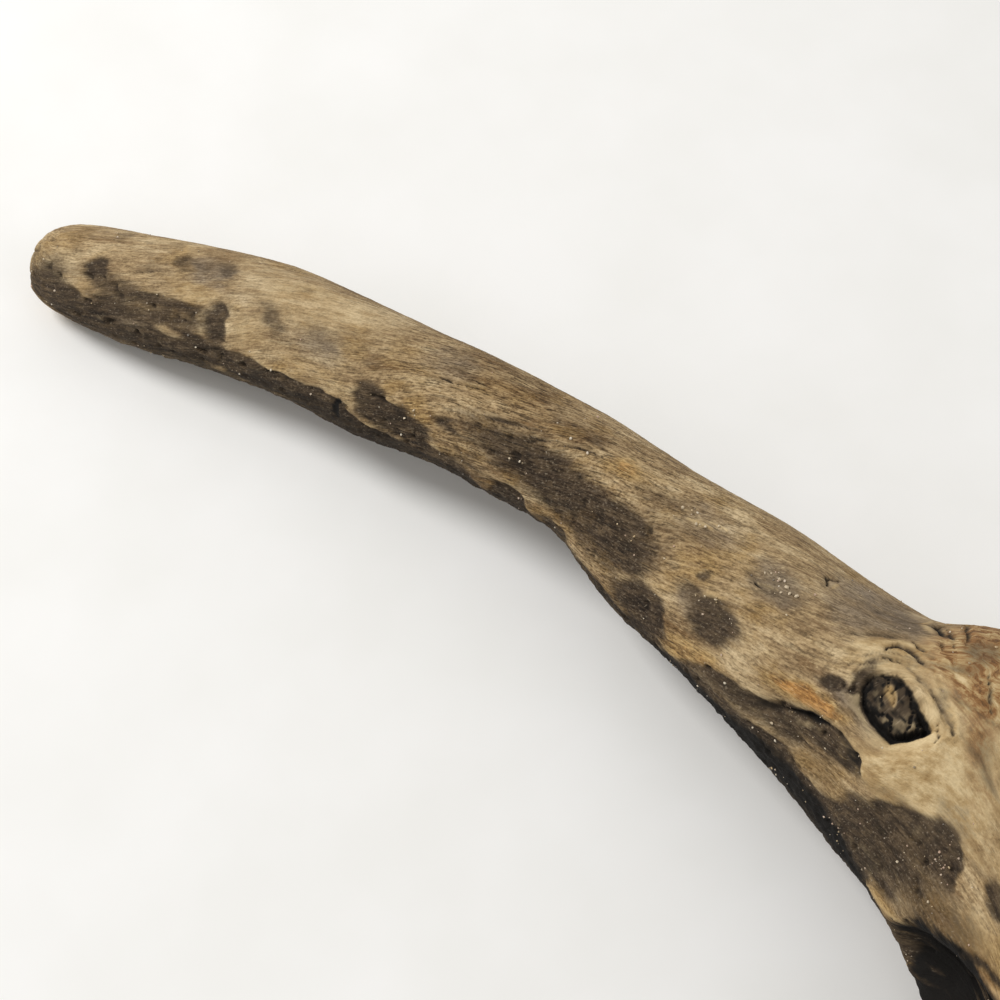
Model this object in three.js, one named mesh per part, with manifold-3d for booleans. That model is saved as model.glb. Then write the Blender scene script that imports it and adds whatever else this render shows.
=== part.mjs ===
// A sea-worn piece of driftwood: one solid of wood, a tapering limb that bends into a thicker trunk.
// Millimetres, +Z up. It lies on its underside at Z = 0, its length along X, its worn tip at -X.
// The bend carries a dead knot and a rounded burl, the trunk a rotted hollow and a broken end.
// On the wood, a place is "along" (mm from the tip, down the middle of the wood) and "around"
// (degrees round it: 0 is the top, 90 the -Y side, -90 the +Y side).
import * as THREE from "three";
import { mergeVertices } from "three/addons/utils/BufferGeometryUtils.js";
import Module from "manifold-3d";

// ---- Driving dimensions ----
// The middle of the wood from tip to broken end, with half its width and half its height there.
const STATIONS = [
  { x: -107.5, y: -20.5, z: 7.4, across: 6.6, deep: 6 },
  { x: -99.5, y: -19.3, z: 8.1, across: 9.4, deep: 8.3 },
  { x: -85.5, y: -14.5, z: 10.2, across: 11.5, deep: 10.4 },
  { x: -63.5, y: -6, z: 13.6, across: 12.1, deep: 11.6 },
  { x: -41.5, y: 1, z: 16.4, across: 12.1, deep: 11.8 },
  { x: -19.5, y: 7, z: 17.8, across: 11.9, deep: 11.6 },
  { x: -3, y: 10, z: 18.2, across: 12.1, deep: 11.8 },
  { x: 13, y: 12.4, z: 18.6, across: 12.7, deep: 12.2 },
  { x: 38, y: 12.2, z: 20, across: 15.8, deep: 14.2 },
  { x: 59, y: 12, z: 21, across: 18, deep: 16.6 },
  { x: 76, y: 12, z: 20.8, across: 19, deep: 19 },
  { x: 91, y: 10, z: 20.2, across: 19.3, deep: 21 },
  { x: 106.5, y: 3.5, z: 19.4, across: 17.5, deep: 19.4 },
  { x: 122, y: -6.5, z: 19, across: 16.6, deep: 17.6 },
  { x: 138.5, y: -19, z: 17.4, across: 16.4, deep: 16.6 },
  { x: 155, y: -33.5, z: 16.2, across: 16.6, deep: 16.4 },
  { x: 170, y: -47.5, z: 16, across: 16, deep: 16.4 },
];

// The worn tip: how far back it is rounded, and how blunt (2 is a plain half ball, more is squarer).
const TIP = { rounding: 9, blunt: 2.8 };

// The broken end: its rim, how far it runs back per mm of height, and how far from it its unevenness begins.
const BREAK = { rounding: 7, blunt: 3.6, slant: 0.45, reach: 34 };

// Where the break stands out (positive) or is worn in (negative), seen end on from its middle.
const BREAK_TONGUES = [
  { name: "long tongue", toSide: -9, toTop: -7, width: 5.5, height: 7 },
  { name: "short tongue", toSide: 9, toTop: -1, width: 4, height: 3.2 },
  { name: "rotted pith", toSide: 1.5, toTop: 1, width: 4.2, height: -6 },
  { name: "upper step", toSide: -2, toTop: 11, width: 4.5, height: -3 },
];

// Shallow flutes that follow the spiral of the grain: how many go round, and their depth as a share of the girth.
const FLUTES = [
  { count: 2, depth: 0.022, phase: 0.7, drift: 0 },
  { count: 3, depth: 0.014, phase: 0, drift: 1 / 31 },
  { count: 5, depth: 0.008, phase: 0, drift: 0 },
];
const SPIRAL = 1 / 42; // radians of turn per mm along

// Swellings (positive height) and dents (negative): how far each reaches along and round the wood, and
// how crisp its edge is (1 fades out gently, 2 has a plain rim).
const SWELLS = [
  { name: "dent above the tip", along: 32, around: -20, length: 16, width: 9, height: -0.7, crisp: 1 },
  { name: "long flat on the limb", along: 62, around: 60, length: 26, width: 9, height: -1, crisp: 1 },
  { name: "back of the limb", along: 85, around: -75, length: 22, width: 10, height: -1, crisp: 1 },
  { name: "swelling under the limb", along: 78, around: 112, length: 11, width: 8, height: 1.2, crisp: 1 },
  { name: "flat before the bend", along: 122, around: 108, length: 9, width: 9, height: -0.9, crisp: 1 },
  { name: "shoulder on the underside", along: 142, around: 112, length: 9, width: 8, height: 0.7, crisp: 1 },
  { name: "dead twig scar", along: 114, around: -128, length: 6, width: 5, height: 2, crisp: 1.3 },
  { name: "dip behind the knot", along: 178, around: -44, length: 12, width: 9, height: -2.2, crisp: 1 },
  { name: "collar of the knot", along: 195, around: 15, length: 14, width: 12, height: 1.6, crisp: 1.4 },
  { name: "scoop below the knot", along: 187, around: 57, length: 13, width: 6.5, height: -2.4, crisp: 1.8 },
  { name: "bulge beside the knot", along: 206, around: 30, length: 9, width: 7, height: 1.2, crisp: 1 },
  { name: "dark flat past the knot", along: 214, around: 55, length: 12, width: 9, height: -1.2, crisp: 1.4 },
  { name: "burl on the bend", along: 202.5, around: -50, length: 13.5, width: 14, height: 7.4, crisp: 2 },
  { name: "crown of the burl", along: 209, around: -66, length: 9, width: 8, height: 2.2, crisp: 1 },
  { name: "low side of the burl", along: 201, around: -92, length: 10, width: 8, height: 1.6, crisp: 1 },
  { name: "waist of the trunk", along: 244, around: -90, length: 14, width: 14, height: -1.8, crisp: 1 },
  { name: "hump on the trunk", along: 262, around: -40, length: 16, width: 12, height: 2.4, crisp: 1 },
  { name: "groove down the trunk", along: 270, around: -8, length: 26, width: 3.5, height: -1.4, crisp: 1 },
];

// The dead knot: an open gap round a shrunken core, rounded but not round, longer down the wood.
const KNOT = { along: 195, around: 15, turn: 25 };
const KNOT_GAP = { radius: 5.1, width: 1.6, depth: 2.4, stretch: 1.15, lobes: 3, lobeDepth: 0.07 };

// The rotted hollow in the side of the trunk: pits of different sizes that have run together.
const HOLLOW_PITS = [
  { along: 246, around: 72, radii: [20, 11, 10], out: 16.5, turn: 26 },
  { along: 263, around: 62, radii: [15, 9, 8], out: 16.5, turn: 10 },
  { along: 236, around: 86, radii: [10, 6, 6], out: 16, turn: 40 },
];

const WEATHERED_WOOD = { color: 0x8d7658, roughness: 0.85, metalness: 0 };

// How finely the surface is divided.
const RINGS = 104;
const SIDES = 34;
const CAP_RINGS = 8;
const GAP_SIDES = 28;
const GAP_STEPS = 6;
const PIT_SIDES = 20;
const PIT_RINGS = 14;

// ---- The middle line and girth of the wood ----
const { clamp, degToRad, radToDeg, smoothstep } = THREE.MathUtils;
const UP = new THREE.Vector3(0, 0, 1);
const middle = new THREE.CatmullRomCurve3(
  STATIONS.map((s) => new THREE.Vector3(s.x, s.y, s.z)),
  false,
  "catmullrom",
);
const girth = new THREE.CatmullRomCurve3(
  STATIONS.map((s) => new THREE.Vector3(s.across, s.deep, 0)),
  false,
  "catmullrom",
);
const length = middle.getLength();

/** The cross-section at a distance from the tip: its centre, its three directions and its half sizes. */
function section(along) {
  const t = middle.getUtoTmapping(clamp(along / length, 0, 1));
  const tangent = middle.getTangent(t);
  const side = tangent.clone().cross(UP).normalize();
  const top = side.clone().cross(tangent);
  const size = girth.getPoint(t);
  return { centre: middle.getPoint(t), tangent, side, top, across: size.x, deep: size.y };
}

/** How far the swells lift the surface at a place. */
function swell(along, around, radius) {
  return SWELLS.reduce((sum, s) => {
    const turn = ((around - s.around + 540) % 360) - 180;
    const aside = (degToRad(turn) * radius) / s.width;
    const ahead = (along - s.along) / s.length;
    return sum + s.height * Math.exp(-((ahead * ahead + aside * aside) ** s.crisp));
  }, 0);
}

/** How much the flutes add to the girth at a place, as a share of it. */
function fluting(along, around) {
  const spiral = degToRad(around) + along * SPIRAL;
  return FLUTES.reduce((sum, f) => sum + f.depth * Math.sin(f.count * spiral + f.phase + along * f.drift), 0);
}

/** The surface point at a place, with the girth scaled down by shrink near the two ends. */
function surface(along, around, shrink = 1) {
  const s = section(along);
  const angle = degToRad(around);
  const radius = (s.across + s.deep) / 2;
  const grow = shrink * (1 + fluting(along, around) + swell(along, around, radius) / radius);
  return s.centre
    .clone()
    .addScaledVector(s.side, Math.sin(angle) * s.across * grow)
    .addScaledVector(s.top, Math.cos(angle) * s.deep * grow);
}

/** How far the break stands out at a place in the end of the wood, seen end on from its middle. */
function breakHeight(toSide, toTop) {
  return BREAK_TONGUES.reduce((sum, t) => {
    const away = ((toSide - t.toSide) ** 2 + (toTop - t.toTop) ** 2) / t.width ** 2;
    return sum + t.height * Math.exp(-away);
  }, -BREAK.slant * toTop);
}

/** How far from the end of a cap its ring number i stands, and how much it is shrunk. */
function capRing(i, cap) {
  const angle = ((i / CAP_RINGS) * Math.PI) / 2;
  const power = 2 / cap.blunt;
  return { back: cap.rounding * (1 - Math.cos(angle) ** power), shrink: Math.sin(angle) ** power };
}

/** Where ring number i stands along the wood, and how much it is shrunk. */
function ringPlace(i) {
  if (i < CAP_RINGS) {
    const { back, shrink } = capRing(i, TIP);
    return { along: back, shrink };
  }
  if (RINGS - i < CAP_RINGS) {
    const { back, shrink } = capRing(RINGS - i, BREAK);
    return { along: length - back, shrink };
  }
  const share = (i - CAP_RINGS) / (RINGS - 2 * CAP_RINGS);
  return { along: TIP.rounding + share * (length - TIP.rounding - BREAK.rounding), shrink: 1 };
}

/** The whole limb and trunk: a sphere whose rings are laid along the middle line. */
function limb() {
  const geometry = new THREE.SphereGeometry(1, SIDES, RINGS);
  const position = geometry.attributes.position;
  const vertex = new THREE.Vector3();
  for (let n = 0; n < position.count; n++) {
    vertex.fromBufferAttribute(position, n);
    const ring = Math.round((Math.acos(clamp(vertex.y, -1, 1)) / Math.PI) * RINGS);
    const pole = ring === 0 || ring === RINGS;
    const around = pole ? 0 : radToDeg(Math.atan2(-vertex.x, vertex.z));
    const { along, shrink } = ringPlace(ring);
    const point = surface(along, around, shrink);
    const { centre, tangent, side, top } = section(along);
    const away = point.clone().sub(centre);
    const uneven = smoothstep(along, length - BREAK.reach, length - BREAK.rounding);
    point.addScaledVector(tangent, uneven * breakHeight(away.dot(side), away.dot(top)));
    position.setXYZ(n, point.x, point.y, point.z);
  }
  return geometry;
}

/** A matrix that stands a shape on the wood: its Z out of the surface, its X along the wood. */
function standOn(along, around, out, turn) {
  const s = section(along);
  const angle = degToRad(around);
  const outward = s.side.clone().multiplyScalar(Math.sin(angle)).addScaledVector(s.top, Math.cos(angle));
  const across = outward.clone().cross(s.tangent).normalize();
  const ahead = across.clone().cross(outward).normalize();
  return new THREE.Matrix4()
    .makeBasis(ahead, across, outward)
    .multiply(new THREE.Matrix4().makeRotationZ(degToRad(turn)))
    .setPosition(s.centre.clone().addScaledVector(outward, out));
}

/** The gap round the knot's core: a ring with a round bottom, open above, its outline slightly lobed. */
function gapRing() {
  const half = KNOT_GAP.width / 2;
  const open = KNOT_GAP.depth + 3;
  const profile = [new THREE.Vector2(KNOT_GAP.radius - half, open)];
  for (let i = 0; i <= GAP_STEPS; i++) {
    const angle = (i / GAP_STEPS) * Math.PI;
    const radius = KNOT_GAP.radius - half * Math.cos(angle);
    profile.push(new THREE.Vector2(radius, -KNOT_GAP.depth - half * Math.sin(angle)));
  }
  profile.push(new THREE.Vector2(KNOT_GAP.radius + half, open), profile[0].clone());
  const ring = new THREE.LatheGeometry(profile, GAP_SIDES).rotateX(Math.PI / 2).scale(KNOT_GAP.stretch, 1, 1);
  const position = ring.attributes.position;
  for (let n = 0; n < position.count; n++) {
    const angle = Math.atan2(position.getY(n), position.getX(n));
    const lobe = 1 + KNOT_GAP.lobeDepth * Math.cos(KNOT_GAP.lobes * angle);
    position.setXY(n, position.getX(n) * lobe, position.getY(n) * lobe);
  }
  return ring;
}

// ---- Joining and cutting ----
const wasm = await Module();
wasm.setup();

/** A closed geometry as a solid. */
function solid(geometry) {
  const bare = geometry.clone();
  bare.deleteAttribute("normal");
  bare.deleteAttribute("uv");
  const merged = mergeVertices(bare, 1e-3);
  return new wasm.Manifold(
    new wasm.Mesh({
      numProp: 3,
      vertProperties: new Float32Array(merged.attributes.position.array),
      triVerts: new Uint32Array(merged.index.array),
    }),
  );
}

/** A solid back as a geometry. */
function geometryOf(made) {
  const mesh = made.getMesh();
  const geometry = new THREE.BufferGeometry();
  geometry.setAttribute("position", new THREE.BufferAttribute(new Float32Array(mesh.vertProperties), 3));
  geometry.setIndex(new THREE.BufferAttribute(new Uint32Array(mesh.triVerts), 1));
  return geometry;
}

/** The open gap between the knot's collar and its core, to be cut away. */
function knotGap() {
  const out = surface(KNOT.along, KNOT.around).distanceTo(section(KNOT.along).centre);
  return solid(gapRing().applyMatrix4(standOn(KNOT.along, KNOT.around, out, KNOT.turn)));
}

/** The rotted hollow, to be cut away. */
function hollow() {
  const pits = HOLLOW_PITS.map((pit) => {
    const ball = new THREE.SphereGeometry(1, PIT_SIDES, PIT_RINGS).scale(...pit.radii);
    return solid(ball.applyMatrix4(standOn(pit.along, pit.around, pit.out, pit.turn)));
  });
  return pits.reduce((joined, pit) => joined.add(pit));
}

/** Everything below the surface the wood lies on, to be worn away flat. */
function below() {
  const slab = new THREE.BoxGeometry(2 * length, 2 * length, length);
  return solid(slab.translate(0, 0, -length / 2));
}

const wood = solid(limb()).subtract(knotGap()).subtract(hollow()).subtract(below());

// ---- The part: centred over its own bounding box, standing on Z = 0 ----
const geometry = geometryOf(wood);
geometry.computeBoundingBox();
const box = geometry.boundingBox;
geometry.translate(-(box.min.x + box.max.x) / 2, -(box.min.y + box.max.y) / 2, -box.min.z);
const driftwood = new THREE.Mesh(geometry, new THREE.MeshStandardMaterial(WEATHERED_WOOD));
driftwood.name = "driftwood";

const part = new THREE.Group();
part.add(driftwood);
export default part;
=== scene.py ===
"""A sea-worn piece of driftwood with sand grains stuck to it, in a plain pale studio.

Every length below is in millimetres unless its name says otherwise, and turns to metres as a mesh is made.
A place on the wood is "along", the distance from the worn tip down the middle of the wood, and "around", in
degrees round it: 0 is the top, 90 the -Y side and -90 the +Y side.
"""

from __future__ import annotations

import logging
import math
from dataclasses import dataclass
from enum import Enum
from functools import partial
from itertools import product
from typing import Any

import bmesh
import bpy
import numpy as np
from mathutils import Matrix, Vector
from mathutils.bvhtree import BVHTree


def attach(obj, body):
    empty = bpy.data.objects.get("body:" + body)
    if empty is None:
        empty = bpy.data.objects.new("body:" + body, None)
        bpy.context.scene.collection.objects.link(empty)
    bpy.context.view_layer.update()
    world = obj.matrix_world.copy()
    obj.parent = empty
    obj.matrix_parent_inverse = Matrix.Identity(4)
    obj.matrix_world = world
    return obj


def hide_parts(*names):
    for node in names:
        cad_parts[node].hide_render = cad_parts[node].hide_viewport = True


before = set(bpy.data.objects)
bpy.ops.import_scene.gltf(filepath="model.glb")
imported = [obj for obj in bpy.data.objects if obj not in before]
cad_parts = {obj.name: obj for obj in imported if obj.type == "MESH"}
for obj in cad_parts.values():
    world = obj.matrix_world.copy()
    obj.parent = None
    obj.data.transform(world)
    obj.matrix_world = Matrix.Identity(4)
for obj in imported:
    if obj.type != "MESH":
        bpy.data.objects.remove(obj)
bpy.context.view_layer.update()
log = logging.getLogger("driftwood")
MM = 0.001  # a millimetre in metres
FAR = 1e9  # further than any place on the wood
TINY = 1e-6  # keeps a division from meeting 0


# ---- Small helpers ----


def smooth(value: np.ndarray, low: float, high: float) -> np.ndarray:
    """Turns a value smoothly from 0 at low to 1 at high.

    Args:
        value: The values.
        low: Where the result leaves 0.
        high: Where the result reaches 1; it may be below low.

    Returns:
        The turned values.
    """
    t = np.clip((value - low) / (high - low), 0.0, 1.0)
    return t * t * (3.0 - 2.0 * t)


def wrapped(degrees: np.ndarray) -> np.ndarray:
    """Brings an angle in degrees to between -180 and 180."""
    return (degrees + 180.0) % 360.0 - 180.0


def unit(vectors: np.ndarray) -> np.ndarray:
    """Scales vectors, in the last axis, to length 1."""
    return vectors / np.linalg.norm(vectors, axis=-1, keepdims=True)


class Noise:
    """Seeded gradient noise in three dimensions, about -1 to 1, the same on every run."""

    CELLS = 256  # lattice cells before it repeats
    GAIN = 1.7  # brings the mixed slopes to about -1 to 1
    SHIFT = 17.3  # moves each finer layer off the lattice of the one before

    def __init__(self, seed: int) -> None:
        """Draws the lattice of slopes.

        Args:
            seed: The seed of the draw.
        """
        rng = np.random.default_rng(seed)
        self.order = rng.permutation(self.CELLS)
        self.slopes = unit(rng.normal(size=(self.CELLS, 3)))

    def at(self, points: np.ndarray) -> np.ndarray:
        """Gives the noise at points.

        Args:
            points: Any shape with three numbers in the last axis, one unit apart per lattice cell.

        Returns:
            The noise, in the shape of points without its last axis.
        """
        cell = np.floor(points).astype(int)
        inside = points - cell
        fade = inside**3 * (inside * (inside * 6.0 - 15.0) + 10.0)
        total = np.zeros(points.shape[:-1])
        for corner in product((0, 1), repeat=3):
            here = (cell + corner) % self.CELLS
            pick = self.order[here[..., 0]]
            pick = self.order[(pick + here[..., 1]) % self.CELLS]
            pick = self.order[(pick + here[..., 2]) % self.CELLS]
            weight = np.prod(np.where(corner, fade, 1.0 - fade), axis=-1)
            total += weight * ((inside - corner) * self.slopes[pick]).sum(-1)
        return total * self.GAIN

    def layered(self, points: np.ndarray, layers: int = 3) -> np.ndarray:
        """Adds finer and weaker layers of the noise.

        Args:
            points: As for at().
            layers: How many layers, each twice as fine and half as strong as the one before.

        Returns:
            The sum, about -1 to 1.
        """
        total = sum(self.at(points * 2.0**n + self.SHIFT * n) * 0.5**n for n in range(layers))
        return total / (2.0 - 0.5 ** (layers - 1))


def add_node(
    tree: bpy.types.NodeTree, kind: str, inputs: dict[Any, Any], out: int | str = 0, **settings: Any
) -> bpy.types.NodeSocket | None:
    """Adds a node with its settings and links.

    Args:
        tree: The node tree.
        kind: The node's type.
        inputs: Socket name or number to a value, or to the output socket it is linked from.
        out: Name or number of the output that is wanted.
        **settings: Properties of the node; stops is a colour ramp's list of (position, sRGB hex).

    Returns:
        The wanted output socket, or None for a node that has none.
    """
    made = tree.nodes.new(kind)
    stops = settings.pop("stops", ())
    for name, value in settings.items():
        setattr(made, name, value)
    for n, (position, colour) in enumerate(stops):
        ramp = made.color_ramp.elements
        element = ramp[n] if n < len(ramp) else ramp.new(position)
        element.position, element.color = position, linear(colour)
    for socket, value in inputs.items():
        if isinstance(value, bpy.types.NodeSocket):
            tree.links.new(value, made.inputs[socket])
        else:
            made.inputs[socket].default_value = value
    return made.outputs[out] if made.outputs else None


def linear(colour: str) -> tuple[float, float, float, float]:
    """Turns an sRGB hex colour to linear red, green, blue and alpha."""
    parts = [int(colour[i : i + 2], 16) / 255.0 for i in (1, 3, 5)]
    return (*(p / 12.92 if p <= 0.04045 else ((p + 0.055) / 1.055) ** 2.4 for p in parts), 1.0)


# ---- The middle of the wood ----


@dataclass
class MiddleLine:
    """The line down the middle of the wood, through the same stations as the solid."""

    stations: tuple[tuple[float, float, float], ...] = (
        (-107.5, -20.5, 7.4),
        (-99.5, -19.3, 8.1),
        (-85.5, -14.5, 10.2),
        (-63.5, -6, 13.6),
        (-41.5, 1, 16.4),
        (-19.5, 7, 17.8),
        (-3, 10, 18.2),
        (13, 12.4, 18.6),
        (38, 12.2, 20),
        (59, 12, 21),
        (76, 12, 20.8),
        (91, 10, 20.2),
        (106.5, 3.5, 19.4),
        (122, -6.5, 19),
        (138.5, -19, 17.4),
        (155, -33.5, 16.2),
        (170, -47.5, 16),
    )
    moved: tuple[float, float, float] = (-37.82, 10.84, 0.0)  # from the stations as drawn to the frame
    fineness: int = 200  # points between two stations

    def __post_init__(self) -> None:
        """Draws the line finely and measures it."""
        points = np.array(self.stations, float) + self.moved
        ends = (2 * points[0] - points[1], 2 * points[-1] - points[-2])
        p = np.vstack([ends[0], points, ends[1]])
        t = np.linspace(0.0, 1.0, self.fineness, endpoint=False)[:, None]
        drawn = []
        for a, b, c, d in zip(p, p[1:], p[2:], p[3:]):
            out, into = (c - a) / 2, (d - b) / 2
            cubed, squared = 2 * b - 2 * c + out + into, -3 * b + 3 * c - 2 * out - into
            drawn.append(cubed * t**3 + squared * t**2 + out * t + b)
        line = np.vstack([*drawn, points[-1]])
        self._along = np.concatenate([[0.0], np.cumsum(np.linalg.norm(np.diff(line, axis=0), axis=1))])
        self._line = line
        self.length = float(self._along[-1])

    def centre(self, along: np.ndarray) -> np.ndarray:
        """Gives the points of the line at distances from the tip."""
        return np.stack([np.interp(along, self._along, self._line[:, k]) for k in range(3)], axis=-1)

    def directions(self, along: np.ndarray) -> tuple[np.ndarray, np.ndarray, np.ndarray]:
        """Gives the wood's own directions at distances from the tip.

        Args:
            along: The distances.

        Returns:
            The direction ahead, the one to the -Y side and the one to the top, each of length 1.
        """
        step = 0.4
        low, high = np.clip(along - step, 0, self.length), np.clip(along + step, 0, self.length)
        ahead = unit(self.centre(high) - self.centre(low))
        side = unit(np.cross(ahead, (0.0, 0.0, 1.0)))
        return ahead, side, np.cross(side, ahead)


# ---- What has happened to the surface ----


class Tint(Enum):
    """What a patch of the weathered surface has taken on."""

    # stain is also laid as painted shade: under the bend, along the first scoop's rim and in the troughs of
    # the folds by the knot
    STAIN = "stain"  # dark with rot and damp
    ASH = "ash"  # bleached to a cold grey
    RUST = "rust"  # warm orange, where the outer layer has just gone
    CREAM = "cream"  # pale clean wood round the knot
    BURL = "burl"  # brown curly wood
    # pitch is also painted shade: in the hollow, under the bend, along the first scoop's rim and along the
    # lower rim
    PITCH = "pitch"  # black: clefts, the gap round the knot, the hollow
    CLEAN = "clean"  # nothing: a window of bare wood in the patches laid before it


@dataclass(frozen=True)
class Patch:
    """One soft-edged patch on the surface."""

    tint: Tint
    along: float
    around: float
    length: float  # half its size along the wood
    width: float  # half its size across
    strength: float
    turn: float = 0.0  # in degrees, from the wood's length towards the -Y side
    soft: float = 0.38  # how far the edge spreads each way, as a share of the size


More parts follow.
